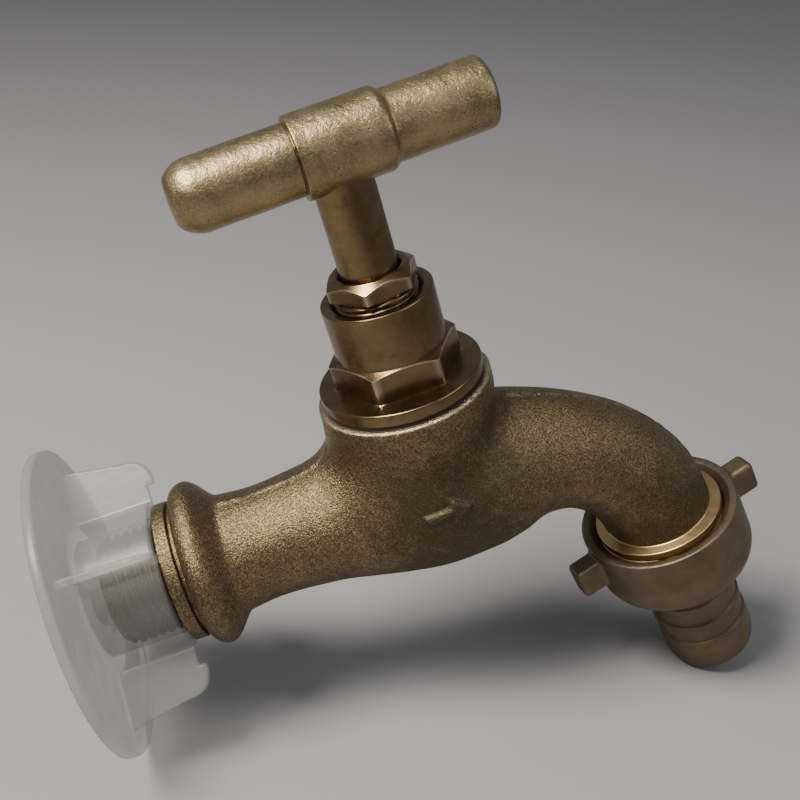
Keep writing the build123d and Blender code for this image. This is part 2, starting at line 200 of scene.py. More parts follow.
class StageSettings(bpy.types.PropertyGroup):
    """Camera and lights."""

    azimuth: FloatProperty(
        name="Azimuth", description="Camera's turn about the object",
        default=math.radians(-3.93), subtype="ANGLE",
    )
    elevation: FloatProperty(
        name="Elevation", description="Camera's height angle",
        default=math.radians(30.26), subtype="ANGLE",
    )
    roll: FloatProperty(
        name="Roll", description="Camera's turn about its own line of sight",
        default=math.radians(-16.90), subtype="ANGLE",
    )
    distance: length("Distance", "Camera to its target", 208.9)
    target_x: length("Target X", "Camera's target along the body", 50.54)
    target_z: length("Target Z", "Camera's target height", 19.86)
    lens: FloatProperty(
        name="Lens", description="Focal length on a 36 mm sensor", default=51.05, unit="CAMERA"
    )
    light: FloatProperty(name="Light", description="Power of the key light, in watts", default=1.6)


GROUPS = {
    "hose_bib_body": BodySizes,
    "hose_bib_headgear": HeadgearSizes,
    "hose_bib_stem": StemSizes,
    "hose_bib_union": UnionSizes,
    "hose_bib_cap": CapSizes,
    "hose_bib_finish": Finishes,
    "hose_bib_stage": StageSettings,
}


class Sizes:
    """A property group's lengths, read back in millimetres."""

    def __init__(self, group):
        for key in group.__annotations__:
            setattr(self, key, getattr(group, key) / MM)


def sizes(context, name):
    return Sizes(getattr(context.scene, name))


# ---- Meshes from arrays -----------------------------------------------------
def link(mesh, name):
    """A new object at the origin that shows this mesh."""
    piece = bpy.data.objects.new(name, mesh)
    bpy.context.scene.collection.objects.link(piece)
    return piece


def mesh_from_grids(name, grids):
    """One mesh of closed shells.

    Each grid is an array of (row, column, 3) points in millimetres.  Columns wrap round,
    and quads join each row to the next; rows wrap too where the third item is true.
    Rings that close to a point are merged into a pole.
    """
    points, quads, start = [], [], 0
    for grid, wrap_rows in grids:
        rows, columns = grid.shape[:2]
        index = np.arange(rows * columns).reshape(rows, columns) + start
        a = index if wrap_rows else index[:-1]
        b = np.roll(index, -1, 0) if wrap_rows else index[1:]
        quads.append(
            np.stack([a, np.roll(a, -1, 1), np.roll(b, -1, 1), b], -1).reshape(-1, 4)
        )
        points.append(grid.reshape(-1, 3))
        start += rows * columns
    mesh = bpy.data.meshes.new(name)
    mesh.from_pydata(np.concatenate(points) * MM, [], np.concatenate(quads))
    work = bmesh.new()
    work.from_mesh(mesh)
    bmesh.ops.remove_doubles(work, verts=work.verts, dist=1e-7)
    bmesh.ops.dissolve_degenerate(work, edges=work.edges, dist=1e-8)
    bmesh.ops.recalc_face_normals(work, faces=work.faces)
    work.to_mesh(mesh)
    work.free()
    return mesh


def finish_mesh(mesh, crease=32.0):
    """Smooth shading, broken at edges sharper than the crease angle in degrees."""
    mesh.shade_smooth()
    mesh.set_sharp_from_angle(angle=math.radians(crease))
    return mesh


def outline(corners, steps=5):
    """A closed outline with rounded corners.

    Corners are (radius, height, rounding).  Each corner is replaced by a parabola that
    leaves its two sides at the rounding distance from the corner.
    """
    data = np.array(corners, float)
    spot, cut = data[:, :2], data[:, 2:]
    before, after = np.roll(spot, 1, 0) - spot, np.roll(spot, -1, 0) - spot
    reach_before = np.linalg.norm(before, axis=1, keepdims=True)
    reach_after = np.linalg.norm(after, axis=1, keepdims=True)
    cut = np.minimum(cut, 0.49 * np.minimum(reach_before, reach_after))
    first = spot + before / reach_before * cut
    last = spot + after / reach_after * cut
    t = np.linspace(0, 1, steps)[None, :, None]
    curve = (
        (1 - t) ** 2 * first[:, None] + 2 * t * (1 - t) * spot[:, None] + t**2 * last[:, None]
    ).reshape(-1, 2)
    apart = np.linalg.norm(curve - np.roll(curve, 1, 0), axis=1) > 1e-6
    return curve[apart]


def densify(line, step):
    """The same open line with points no further apart than the step."""
    along = np.concatenate([[0], np.cumsum(np.linalg.norm(np.diff(line, axis=0), axis=1))])
    even = np.linspace(0, along[-1], int(along[-1] / step) + 2)
    places = np.unique(np.concatenate([along, even]))
    return np.stack([np.interp(places, along, line[:, i]) for i in range(2)], -1)


def turn(profile, segments, origin, axis, side):
    """A lathe surface: each (radius, height) point is carried round the axis."""
    angle = np.linspace(0, 2 * np.pi, segments, endpoint=False)
    other = np.cross(axis, side)
    spoke = np.cos(angle)[:, None] * side + np.sin(angle)[:, None] * other
    radius, height = profile[:, 0, None, None], profile[:, 1, None, None]
    return np.asarray(origin) + radius * spoke + height * np.asarray(axis)


def turn_rows(radius, height, angle, origin, axis, side):
    """As turn, with a radius and a height for each row and angle."""
    other = np.cross(axis, side)
    spoke = np.cos(angle)[:, None] * side + np.sin(angle)[:, None] * other
    return np.asarray(origin) + radius[..., None] * spoke + height[..., None] * np.asarray(axis)


def smooth_curve(x, knots_x, knots_y):
    """A cubic through the knots, with slopes that never overshoot them."""
    kx, ky = np.asarray(knots_x, float), np.asarray(knots_y, float)
    width = np.diff(kx)
    slope = np.diff(ky) / width
    inner = np.where(
        slope[:-1] * slope[1:] > 0,
        2 * slope[:-1] * slope[1:] / (slope[:-1] + slope[1:] + 1e-12),
        0.0,
    )
    tangent = np.concatenate([slope[:1], inner, slope[-1:]])
    x = np.clip(x, kx[0], kx[-1])
    i = np.clip(np.searchsorted(kx, x) - 1, 0, len(width) - 1)
    t = (x - kx[i]) / width[i]
    return (
        ky[i] * (1 + 2 * t) * (1 - t) ** 2
        + ky[i + 1] * t**2 * (3 - 2 * t)
        + tangent[i] * width[i] * t * (1 - t) ** 2
        - tangent[i + 1] * width[i] * t**2 * (1 - t)
    )


def ripple(points, wavelength, seed):
    """Slow, unrepeating waviness between -1 and 1: a sum of sines in seeded directions."""
    draw = np.random.default_rng(seed)
    ways = draw.normal(size=(6, 3))
    ways /= np.linalg.norm(ways, axis=1, keepdims=True)
    rate = 2 * np.pi / (wavelength * draw.uniform(0.7, 1.5, 6))
    start = draw.uniform(0, 2 * np.pi, 6)
    return np.sin(points @ (ways * rate[:, None]).T + start).mean(-1)


# ---- Castings from a distance field -----------------------------------------
def soft_min(a, b, blend):
    """The lower of two distances, with the crease between them filled to a fillet."""
    h = np.clip(0.5 + 0.5 * (b - a) / blend, 0, 1)
    return b * (1 - h) + a * h - blend * h * (1 - h)


def soft_max(a, b, blend):
    """The higher of two distances, with the edge between them rounded."""
    return -soft_min(-a, -b, blend)


def rounded_box(local, half, rounding):
    """Distance to a box with rounded edges, centred on the local origin."""
    q = np.abs(local) - (np.asarray(half) - rounding)
    outside = np.linalg.norm(np.maximum(q, 0), axis=-1)
    return outside + np.minimum(q.max(-1), 0) - rounding


def remeshed(mesh, voxel):
    """The mesh's outside as even quads, a voxel across."""
    piece = link(mesh, "rough")
    remesh = piece.modifiers.new("Remesh", "REMESH")
    remesh.mode = "VOXEL"
    remesh.voxel_size = voxel * MM
    graph = bpy.context.evaluated_depsgraph_get()
    made = bpy.data.meshes.new_from_object(piece.evaluated_get(graph))
    bpy.data.objects.remove(piece)
    return made


def points_of(mesh):
    """The mesh's points in millimetres."""
    flat = np.empty(len(mesh.vertices) * 3, np.float32)
    mesh.vertices.foreach_get("co", flat)
    return flat.reshape(-1, 3).astype(float) / MM


def set_points(mesh, points):
    mesh.vertices.foreach_set("co", (points * MM).astype(np.float32).ravel())
    mesh.update()


def pull_onto(points, distance, rounds=7, probe=0.02):
    """Each point walks down the distance field's slope until the distance is nothing."""
    for _ in range(rounds):
        here = distance(points)
        slope = np.stack(
            [
                (distance(points + probe * way) - distance(points - probe * way)) / (2 * probe)
                for way in np.eye(3)
            ],
            -1,
        )
        steep = np.maximum((slope**2).sum(-1), 0.2)
        step = np.clip(here / steep, -0.6, 0.6)
        points = points - step[:, None] * slope
    return points


def cast_mesh(name, grids, distance, coarse, fine):
    """A casting: rough shells are joined, remeshed and pulled onto a distance field."""
    mesh = mesh_from_grids(name, grids)
    for voxel in (coarse, fine):
        mesh = remeshed(mesh, voxel)
        set_points(mesh, pull_onto(points_of(mesh), distance))
    mesh.name = name
    mesh.shade_smooth()
    return mesh


def put_attribute(mesh, name, values):
    """One number for each point, for the finishes to read."""
    layer = mesh.attributes.new(name, "FLOAT", "POINT")
    layer.data.foreach_set("value", values.astype(np.float32))


# ---- Shader maths as expressions --------------------------------------------
class Field:
    """A shader socket that works in a Python expression."""

    def __init__(self, sheet, socket):
        self.sheet, self.socket = sheet, socket

    def math(self, operation, first, second):
        return self.sheet.field("ShaderNodeMath", {"operation": operation}, {0: first, 1: second})

    def __add__(self, other):
        return self.math("ADD", self, other)

    def __sub__(self, other):
        return self.math("SUBTRACT", self, other)

    def __mul__(self, other):
        return self.math("MULTIPLY", self, other)

    def __rsub__(self, other):
        return self.math("SUBTRACT", other, self)

    __radd__ = __add__
    __rmul__ = __mul__

    def step(self, low, high):
        """0 below low, 1 above high, and a smooth rise between."""
        return self.sheet.field(
            "ShaderNodeMapRange",
            {"interpolation_type": "SMOOTHSTEP"},
            {"Value": self, "From Min": low, "From Max": high},
            "Result",
        )


class Sheet:
    """One material's node tree, with its surface shader."""

    def __init__(self, name):
        self.material = bpy.data.materials.new("finish_" + name)
        self.material.use_nodes = True
        self.tree = self.material.node_tree
        self.tree.nodes.clear()
        self.output = self.tree.nodes.new("ShaderNodeOutputMaterial")
        spot = self.node("ShaderNodeTexCoord").outputs["Object"]
        self.place = self.field(
            "ShaderNodeVectorMath", {"operation": "SCALE"}, {0: spot, "Scale": 1 / MM}
        )

    def node(self, kind, settings=None, inputs=None):
        """Any node: its type, its settings, and the values or links of its sockets."""
        made = self.tree.nodes.new(kind)
        for key, value in (settings or {}).items():
            setattr(made, key, value)
        for key, value in (inputs or {}).items():
            value = value.socket if isinstance(value, Field) else value
            if isinstance(value, bpy.types.NodeSocket):
                self.tree.links.new(value, made.inputs[key])
            else:
                made.inputs[key].default_value = value
        return made

    def field(self, kind, settings=None, inputs=None, output=0):
        """A node's output, ready for an expression."""
        return Field(self, self.node(kind, settings, inputs).outputs[output])

    def noise(self, size, detail=3.0, roughness=0.55, stretch=(1, 1, 1)):
        """Cloudy noise from 0 to 1, with lumps about this size in millimetres."""
        spot = self.field(
            "ShaderNodeVectorMath", {"operation": "MULTIPLY"}, {0: self.place, 1: stretch}
        )
        return self.field(
            "ShaderNodeTexNoise",
            None,
            {"Vector": spot, "Scale": 1 / size, "Detail": detail, "Roughness": roughness},
            "Fac",
        )

    def grains(self, size):
        """Distance to the nearest of scattered points, about this far apart in millimetres."""
        inputs = {"Vector": self.place, "Scale": 1 / size}
        return self.field("ShaderNodeTexVoronoi", None, inputs, "Distance")

    def attribute(self, name):
        """A number that the mesh carries for each point."""
        return self.field("ShaderNodeAttribute", {"attribute_name": name}, None, "Fac")

    def mix(self, factor, first, second):
        """A colour between two colours."""
        wide = [(*c, 1) if isinstance(c, (tuple, list)) else c for c in (first, second)]
        return self.field(
            "ShaderNodeMix",
            {"data_type": "RGBA"},
            {0: factor, 6: wide[0], 7: wide[1]},
            2,
        )

    def bump(self, height, strength, distance, normal=None):
        """A normal tilted by a height field, with the distance in millimetres."""
        inputs = {"Height": height, "Strength": strength, "Distance": distance * MM}
        if normal is not None:
            inputs["Normal"] = normal
        return self.field("ShaderNodeBump", None, inputs, "Normal")

    def surface(self, **inputs):
        """The Principled shader.  Underscores in names stand for spaces."""
        named = {key.replace("_", " "): value for key, value in inputs.items()}
        shader = self.node("ShaderNodeBsdfPrincipled", None, named)
        self.tree.links.new(shader.outputs[0], self.output.inputs["Surface"])
        return self.material


def shade(colour_value, factor):
    """A colour made lighter or darker."""
    return tuple(min(1.0, channel * factor) for channel in colour_value)


# ---- Finishes ---------------------------------------------------------------
# Bare brass of the cut rim and the top seam, brightened into a painted highlight.
BARE_BRASS_AND_HIGHLIGHT = (0.60, 0.50, 0.32)
# Painted highlight where the hexagons' edges catch the light, on slightly worn brass.
EDGE_HIGHLIGHT = (0.78, 0.68, 0.48)


def cast_brass(finish):
    """Sand-cast brass: gritty, with a dull olive patina on the bulb, painted shade in the same colour towards the
    underside, and a painted highlight on the cut rim and the top seam.
    """
    sheet = Sheet("cast_brass")
    cast, patina_and_shade = tuple(finish.cast), tuple(finish.patina_and_shade)
    cloud = sheet.noise(7.0, 4.0, 0.6)
    mottle = sheet.noise(1.6, 3.0, 0.6)
    grit = sheet.noise(0.34, 2.0, 0.75)
    # Patina on the bulb, and painted shade towards the underside, both in the patina colour.
    patina_and_underside_shade = (cloud * 0.6 + mottle * 0.4 + sheet.attribute("patina_and_underside_shade") * 0.5).step(0.42, 0.85)
    clean = sheet.mix(grit.step(0.36, 0.70), shade(cast, 0.5), shade(cast, 1.75))
    base = sheet.mix(patina_and_underside_shade * 0.75, clean, patina_and_shade)
    # Bare brass with a painted highlight on the cut rim and on the parting seam on top.
    machined = sheet.attribute("machined")
    bare_and_highlight = machined * (0.3 + 0.6 * grit.step(0.35, 0.6))
    base = sheet.mix(bare_and_highlight, base, BARE_BRASS_AND_HIGHLIGHT)
    rough = 0.34 + mottle * 0.14 + patina_and_underside_shade * 0.2 - machined * 0.1
    coarse = sheet.bump(mottle, 0.4, 0.3)
    fine = sheet.bump(grit, 1.0, 0.2 - 0.08 * patina_and_underside_shade, coarse)
    return sheet.surface(Base_Color=base, Metallic=1.0, Roughness=rough, Normal=fine)


def handle_brass(finish):
    """Satin brass on the T handle: golden, with fine pits and cloudy wear."""
    sheet = Sheet("handle_brass")
    tone = tuple(finish.handle)
    cloud = sheet.noise(6.0, 4.0, 0.6)
    grit = sheet.noise(0.45, 3.0, 0.7)
    lumps = sheet.noise(1.7, 3.0, 0.6)
    pits = 1 - sheet.grains(1.3).step(0.02, 0.2)
    pits = pits * sheet.noise(3.0, 2.0).step(0.42, 0.62)
    base = sheet.mix(cloud.step(0.3, 0.75), shade(tone, 0.72), shade(tone, 1.2))
    base = sheet.mix(grit.step(0.4, 0.75) * 0.5, base, shade(tone, 1.7))
    base = sheet.mix(pits * 0.8, base, shade(tone, 0.25))
    rough = 0.28 + cloud * 0.14 + grit * 0.08
    relief = sheet.bump(lumps, 0.5, 0.3)
    relief = sheet.bump(grit, 0.8, 0.09, relief)
    relief = sheet.bump(1 - pits, 0.6, 0.12, relief)
    return sheet.surface(Base_Color=base, Metallic=1.0, Roughness=rough, Normal=relief)


def turned_brass(finish):
    """Lathe-turned brass: semi-gloss, with faint rings round the spindle axis."""
    sheet = Sheet("turned_brass")
    tone = tuple(finish.turned)
    cloud = sheet.noise(5.0, 3.0, 0.6)
    rings = sheet.noise(0.16, 2.0, 0.5, (0.02, 0.02, 1.0))
    base = sheet.mix(cloud.step(0.3, 0.75), shade(tone, 0.8), shade(tone, 1.2))
    base = sheet.mix(rings * 0.35, base, shade(tone, 0.55))
    stain = sheet.noise(2.6, 3.0, 0.6).step(0.58, 0.74)
    base = sheet.mix(stain * 0.6, base, shade(tone, 0.4))
    # Painted highlight along the hexagon edges.
    base = sheet.mix(sheet.attribute("edge"), base, EDGE_HIGHLIGHT)
    rough = 0.17 + cloud * 0.12 + rings * 0.08
    relief = sheet.bump(rings, 0.35, 0.03)
    return sheet.surface(Base_Color=base, Metallic=1.0, Roughness=rough, Normal=relief)


def union_brass(finish):
    """Smooth satin brass on the wing nut and the hose tail."""
    sheet = Sheet("union_brass")
    tone = tuple(finish.union)
    cloud = sheet.noise(6.0, 4.0, 0.6)
    grit = sheet.noise(0.35, 2.0, 0.6)
    base = sheet.mix(cloud.step(0.3, 0.75), shade(tone, 0.8), shade(tone, 1.15))
    rough = 0.42 + cloud * 0.12 + grit * 0.06
    relief = sheet.bump(grit, 0.45, 0.035)
    return sheet.surface(Base_Color=base, Metallic=1.0, Roughness=rough, Normal=relief)


def inner_brass(finish):
    """Plain machined brass for the parts inside and the end of the spout."""
    sheet = Sheet("inner_brass")
    tone = tuple(finish.turned)
    rings = sheet.noise(0.2, 2.0, 0.5, (0.02, 0.02, 1.0))
    base = sheet.mix(rings, shade(tone, 2.2), shade(tone, 3.0))
    return sheet.surface(
        Base_Color=base, Metallic=1.0, Roughness=0.25 + rings * 0.15,
        Normal=sheet.bump(rings, 0.3, 0.02),
    )


def milky_plastic(finish):
    """Milky moulded plastic that lets the thread inside show dimly."""
    sheet = Sheet("cap_plastic")
    tone = tuple(finish.plastic)
    flow = sheet.noise(5.0, 3.0, 0.5)
    base = sheet.mix(flow, shade(tone, 0.92), shade(tone, 1.06))
    relief = sheet.bump(sheet.noise(2.2, 2.0, 0.5), 0.25, 0.12)
    return sheet.surface(
        Base_Color=base, Roughness=0.24 + flow * 0.1, IOR=1.49,
        Alpha=0.31 + flow * 0.12, Normal=relief,
    )


def fibre(finish):
    """Pressed red-brown fibre, painted near black as the shade of the gap it sits in."""
    sheet = Sheet("fibre")
    tone = tuple(finish.fibre)
    fuzz = sheet.noise(0.4, 4.0, 0.7)
    base = sheet.mix(fuzz, shade(tone, 0.5), shade(tone, 1.5))
    rough, relief = 0.75 + fuzz * 0.2, sheet.bump(fuzz, 0.6, 0.08)
    return sheet.surface(Base_Color=base, Roughness=rough, Normal=relief)


def rubber(finish):
    """Dull black rubber, with a faint bloom."""
    sheet = Sheet("rubber")
    bloom = sheet.noise(2.5, 4.0, 0.6)
    base = sheet.mix(bloom, (0.012, 0.012, 0.013), (0.035, 0.034, 0.033))
    rough, relief = 0.6 + bloom * 0.2, sheet.bump(bloom, 0.3, 0.05)
    return sheet.surface(Base_Color=base, Roughness=rough, Normal=relief)


def packing(finish):
    """Soft white packing ring."""
    sheet = Sheet("packing")
    weave = sheet.noise(0.5, 3.0, 0.6)
    base = sheet.mix(weave, (0.62, 0.62, 0.59), (0.80, 0.80, 0.77))
    rough, relief = 0.55 + weave * 0.2, sheet.bump(weave, 0.4, 0.06)
    return sheet.surface(Base_Color=base, Roughness=rough, Normal=relief)


def screw_steel(finish):
    """Plain steel of the grub screw."""
    sheet = Sheet("screw_steel")
    cloud = sheet.noise(0.8, 3.0, 0.6)
    base = sheet.mix(cloud, (0.20, 0.20, 0.20), (0.38, 0.38, 0.39))
    rough, relief = 0.3 + cloud * 0.2, sheet.bump(cloud, 0.3, 0.02)
    return sheet.surface(Base_Color=base, Metallic=1.0, Roughness=rough, Normal=relief)


def plain_floor(finish):
    """Pale matt floor, unseen from below."""
    sheet = Sheet("floor")
    tone = tuple(finish.floor)
    grain = sheet.noise(1.2, 3.0, 0.6)
    base = sheet.mix(grain, shade(tone, 0.97), shade(tone, 1.03))
    shader = sheet.node("ShaderNodeBsdfPrincipled", None, {"Base Color": base, "Roughness": 0.9})
    clear = sheet.node("ShaderNodeBsdfTransparent")
    back = sheet.node("ShaderNodeNewGeometry").outputs["Backfacing"]
    mixed = sheet.node(
        "ShaderNodeMixShader", None, {0: back, 1: shader.outputs[0], 2: clear.outputs[0]}
    )
    sheet.tree.links.new(mixed.outputs[0], sheet.output.inputs["Surface"])
    return sheet.material


# One maker for each record slot.  Each takes the finish settings, used or not.
MAKERS = {
    "cast_brass": cast_brass,
    "handle_brass": handle_brass,
    "turned_brass": turned_brass,
    "union_brass": union_brass,
    "inner_brass": inner_brass,
    "cap_plastic": milky_plastic,
    "fibre": fibre,
    "rubber": rubber,
    "packing": packing,
    "screw_steel": screw_steel,
}

MADE = {}  # the finishes made so far


def material(context, slot):
    """The finish of a record slot, made the first time it is asked for."""
    if slot not in MADE:
        MADE[slot] = MAKERS[slot](context.scene.hose_bib_finish)
    return MADE[slot]


def held_in(mesh, node):
    """Points kept inside a CAD node's box."""
    low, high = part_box(node)
    set_points(mesh, np.clip(points_of(mesh), np.array(low) / MM, np.array(high) / MM))
    return mesh


def place(context, mesh, name, body, slot, stands_for=()):
    """Puts a finished mesh in the scene, riding on its body, in its slot's finish."""
    piece = link(mesh, name)
    mesh.name = name
    mesh.materials.clear()
    mesh.materials.append(material(context, slot))
    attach(piece, body)
    if stands_for:
        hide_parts(*stands_for)
    return piece


def refinish(context, nodes):
    """Gives CAD nodes that stay the finish of their record slot."""
    slots = {row["node"]: row["material_slot"] for row in frame["record"]["subparts"]}
    for name in nodes:
        mesh = frame["nodes"][name].data
        mesh.materials.clear()
        mesh.materials.append(material(context, slots[name]))


# ---- Body -------------------------------------------------------------------
BORE_DEPTH = 30.0  # how far into the casting the inlet's bore runs
CUP_FOOT_Z = -4.0  # the cup's low end, buried in the bulb
BEAD_FOOT_R = 11.6  # the radius that the bead's height is measured from
BEAD_RISE = 2.9  # from the groove to the bead's crest
OUTLET_OVERLAP = 1.0  # how far the casting runs on inside the outlet's collar
THREAD_DEPTH = 1.16  # crest to root, on both pipe threads
THREAD_START = 1.2  # from the nut's mouth to the start of the spout's thread
SPOUT_FACE = 7.6  # from the nut's mouth to the end of the spout's thread
OUTLET_BORE_R = 7.5
BULB_MIDDLE = (SPINDLE_X + 1, 0.0, 2.0)
FILM_WHOLE_R = 13.0  # the dull film is whole this close to the bulb's middle
FILM_FADE = 9.0  # and gone this much further out
ARROW_X = 52.0  # the cast arrow's middle along the body
ARROW_TURN = math.radians(12.3)  # its place up the front of the bulb
ARROW_HALF_L = 4.6
ARROW_RAISE = 0.8


class Spout:
    """The body's centre line: straight along X, a bend, then the outlet's line."""

    def __init__(self, s):
        self.start, self.radius = s.bend_x, s.bend_r
        self.bend_end = s.bend_x + s.bend_r * OUTLET_TURN
        self.corner = np.array([s.bend_x, 0.0, -s.bend_r])
        self.end = self.corner + s.bend_r * OUTLET_SIDE

    def measure(self, p):
        """Distance run along the line, and distance off it, for each point."""
        rel = p - self.corner
        angle = np.clip(np.arctan2(rel[..., 0], rel[..., 2]), 0, OUTLET_TURN)
        on_bend = self.corner + self.radius * np.stack(
            [np.sin(angle), np.zeros_like(angle), np.cos(angle)], -1
        )
        straight = p[..., 0] <= self.start
        past = (p - self.end) @ OUTLET_DIR
        beyond = (past > 0) & ~straight & (rel[..., 0] > 0)
        run = np.where(straight, p[..., 0], self.start + self.radius * angle)
        run = np.where(beyond, self.bend_end + past, run)
        nearest = np.where(
            beyond[..., None], self.end + past[..., None] * OUTLET_DIR, on_bend
        )
        off = np.linalg.norm(p - nearest, axis=-1)
        off = np.where(straight, np.hypot(p[..., 1], p[..., 2]), off)
        return run, off

    def carry(self, run, radius, segments):
        """A tube of the given radii along the line."""
        angle = np.clip((run - self.start) / self.radius, 0, OUTLET_TURN)
        way = np.stack([np.cos(angle), np.zeros_like(angle), -np.sin(angle)], -1)
        bent = self.corner + self.radius * np.stack(
            [np.sin(angle), np.zeros_like(angle), np.cos(angle)], -1
        )
        extra = np.where(run < self.start, run - self.start, np.maximum(run - self.bend_end, 0))
        centre = bent + extra[:, None] * way
        up = np.cross(way, ACROSS)
        turn_by = np.linspace(0, 2 * np.pi, segments, endpoint=False)
        spoke = (
            np.cos(turn_by)[None, :, None] * -up[:, None]
            + np.sin(turn_by)[None, :, None] * ACROSS
        )
        return centre[:, None] + radius[:, None, None] * spoke


def body_radius(run, s):
    """The casting's radius along its centre line: bead, neck, bulb, tapering spout."""
    bead_from = s.ring_w + s.groove_w
    spout_end = s.bend_x + s.bend_r * OUTLET_TURN
    base = smooth_curve(
        run,
        [bead_from, 11.0, 18.0, 28.0, 38.0, SPINDLE_X, 60.0, s.bend_x, 74.0, 83.0, spout_end],
        [11.7, 11.5, s.neck_r, 11.6, 13.6, s.bulb_r, 15.5, 14.3, 12.3, 11.3, s.spout_r],
    )
    # The bead rises steeply from the groove and falls away slowly to the neck.
    top = bead_from + BEAD_RISE
    rising = run < top
    t = (run - top) / np.where(rising, 3.6, 5.4)
    hump = np.clip(1 - t**2, 0, 1) ** np.where(rising, 0.5, 1.9)
    return base + (s.bead_r - BEAD_FOOT_R) * hump


def cup_radius(z, s):
    """The upright cup under the bonnet: straight at its rim, drawn in below."""
    heights = [CUP_FOOT_Z, 3.0, 10.0, 16.0, RIM_Z - 3.0, RIM_Z]
    return smooth_curve(z, heights, [9.0, 12.4, 14.3, 15.5, s.rim_r, s.rim_r])


def flow_arrow(p):
    """How far the cast arrow is raised: 1 on its shaft and head, 0 off them.

    The arrow points along +X on the front of the bulb.  Its head is a wedge whose half
    width falls evenly to the tip.
    """
    u = p[..., 0] - ARROW_X
    v = p[..., 1] * math.sin(ARROW_TURN) + p[..., 2] * math.cos(ARROW_TURN)
    shaft = np.maximum(np.abs(v) - 0.75, np.maximum(-ARROW_HALF_L - u, u - 1.0))
    head = np.maximum((np.abs(v) - (ARROW_HALF_L - u) * 0.72) * 0.8, 0.6 - u)
    inside = np.clip(0.5 - np.minimum(shaft, head) / 0.55, 0, 1)
    return inside * inside * (3 - 2 * inside) * (p[..., 1] < -5)


def body_distance(s, line):
    """The casting as a distance field.

    The tube along the centre line, with a low ridge on its parting plane, is filleted into
    the upright cup.  Slow waviness and the raised arrow are added.  The rim and both ends
    are then cut flat, and the inlet's bore is taken out.
    """
    bead_from = s.ring_w + s.groove_w
    outlet_end = line.bend_end + s.lead + OUTLET_OVERLAP

    def distance(p):
        run, off = line.measure(p)
        tube = off - body_radius(run, s)
        ridge = np.exp(-((p[..., 1] / 0.5) ** 2)) * (0.24 + 0.24 * ripple(p, 3.0, 5))
        tube = tube - ridge * (run > 12)
        cup = np.hypot(p[..., 0] - SPINDLE_X, p[..., 1]) - cup_radius(p[..., 2], s)
        cup = soft_max(cup, CUP_FOOT_Z - p[..., 2], 2.0)
        blend = 3.2 + 5.6 * np.clip((SPINDLE_X + 4 - p[..., 0]) / 14, 0, 1)
        whole = soft_min(tube, cup, blend)
        whole = whole - 0.07 * ripple(p, 9.0, 2)
        whole = whole - ARROW_RAISE * flow_arrow(p)
        whole = soft_max(whole, p[..., 2] - RIM_Z, 0.3)
        whole = np.maximum(whole, bead_from - p[..., 0])
        whole = np.maximum(whole, run - outlet_end)
        bore = np.maximum(np.hypot(p[..., 1], p[..., 2]) - s.bore_r, p[..., 0] - BORE_DEPTH)
        return np.maximum(whole, -bore)

    return distance


def casting_mesh(s):
    """Neck, bulb, cup and spout as one casting, hollow where the inlet can be seen into.

    Its points carry two marks: patina that is strong on the bulb, with painted shade added
    that grows towards the underside; and bare brass with a painted highlight on the cut rim
    and on the parting seam on top.
    """
    line = Spout(s)
    bead_from = s.ring_w + s.groove_w
    outlet_end = line.bend_end + s.lead + OUTLET_OVERLAP
    run = np.linspace(bead_from, outlet_end, 260)
    outer = body_radius(run, s)
    run = np.concatenate([[BORE_DEPTH, BORE_DEPTH, bead_from], run, [outlet_end]])
    radius = np.concatenate([[0.0, s.bore_r, s.bore_r], outer, [0.0]])
    tube = line.carry(run, radius, 128)
    z = np.linspace(CUP_FOOT_Z + 0.5, RIM_Z, 40)
    cup = np.stack([cup_radius(z, s), z], -1)
    cup = np.concatenate([[[0.0, z[0]]], cup, [[0.0, RIM_Z]]])
    origin = np.array([SPINDLE_X, 0.0, 0.0])
    grids = [(tube, False), (turn(cup, 128, origin, UP, ALONG), False)]
    mesh = cast_mesh("casting", grids, body_distance(s, line), 0.7, 0.42)
    p = points_of(mesh)
    off_bulb = np.linalg.norm(p - np.array(BULB_MIDDLE), axis=1)
    patina_and_underside_shade = np.clip(1 - (off_bulb - FILM_WHOLE_R) / FILM_FADE, 0, 1)
    # Painted shade: the mark grows towards the underside.
    patina_and_underside_shade = patina_and_underside_shade + 0.5 * np.clip(-p[:, 2] / 20, 0, 1)
    put_attribute(mesh, "patina_and_underside_shade", patina_and_underside_shade)
    # Bright rim and seam: bare brass with a painted highlight; the seam only on top, where the light falls.
    ragged = 0.30 + 0.22 * ripple(p, 1.6, 8)
    rim = np.clip((p[:, 2] - (RIM_Z - ragged)) / 0.2 + 0.5, 0, 1)
    seam = np.exp(-((p[:, 1] / 0.42) ** 2)) * (p[:, 2] > 0) * (p[:, 0] > 12)
    seam = seam * np.clip(0.25 + 1.6 * ripple(p, 2.6, 5), 0, 0.8)
    put_attribute(mesh, "machined", np.maximum(rim, seam))
    return mesh


def thread_rows(low, high, major, depth, pitch, segments, taper_low, taper_high):
    """Heights and radii of a screw thread: a saw wave that winds one pitch a turn.

    The crest fades over the taper lengths at either end, so the ends are round.
    """
    height = np.arange(low, high + 1e-6, pitch / 14)
    angle = np.linspace(0, 2 * np.pi, segments, endpoint=False)
    phase = (height[:, None] / pitch - angle[None] / (2 * np.pi)) % 1.0
    flank = np.clip((np.abs(phase - 0.5) * 2 - 0.12) / 0.76, 0, 1)
    radius = major - depth * flank
    from_low = np.clip((height - low) / taper_low, 0, 1)[:, None]
    from_high = np.clip((high - height) / taper_high, 0, 1)[:, None]
    root = major - depth
    limit = root + (major - root) * np.minimum(from_low, from_high)
    radius = np.minimum(radius, limit + 1e-4)
    return np.broadcast_to(height[:, None], radius.shape), radius, angle


def flat_rows(pairs, segments):
    """Rows of a plain (radius, height) outline, one value for every angle."""
    data = np.array(pairs, float)
    ones = np.ones(segments)
    return data[:, 1, None] * ones, data[:, 0, None] * ones


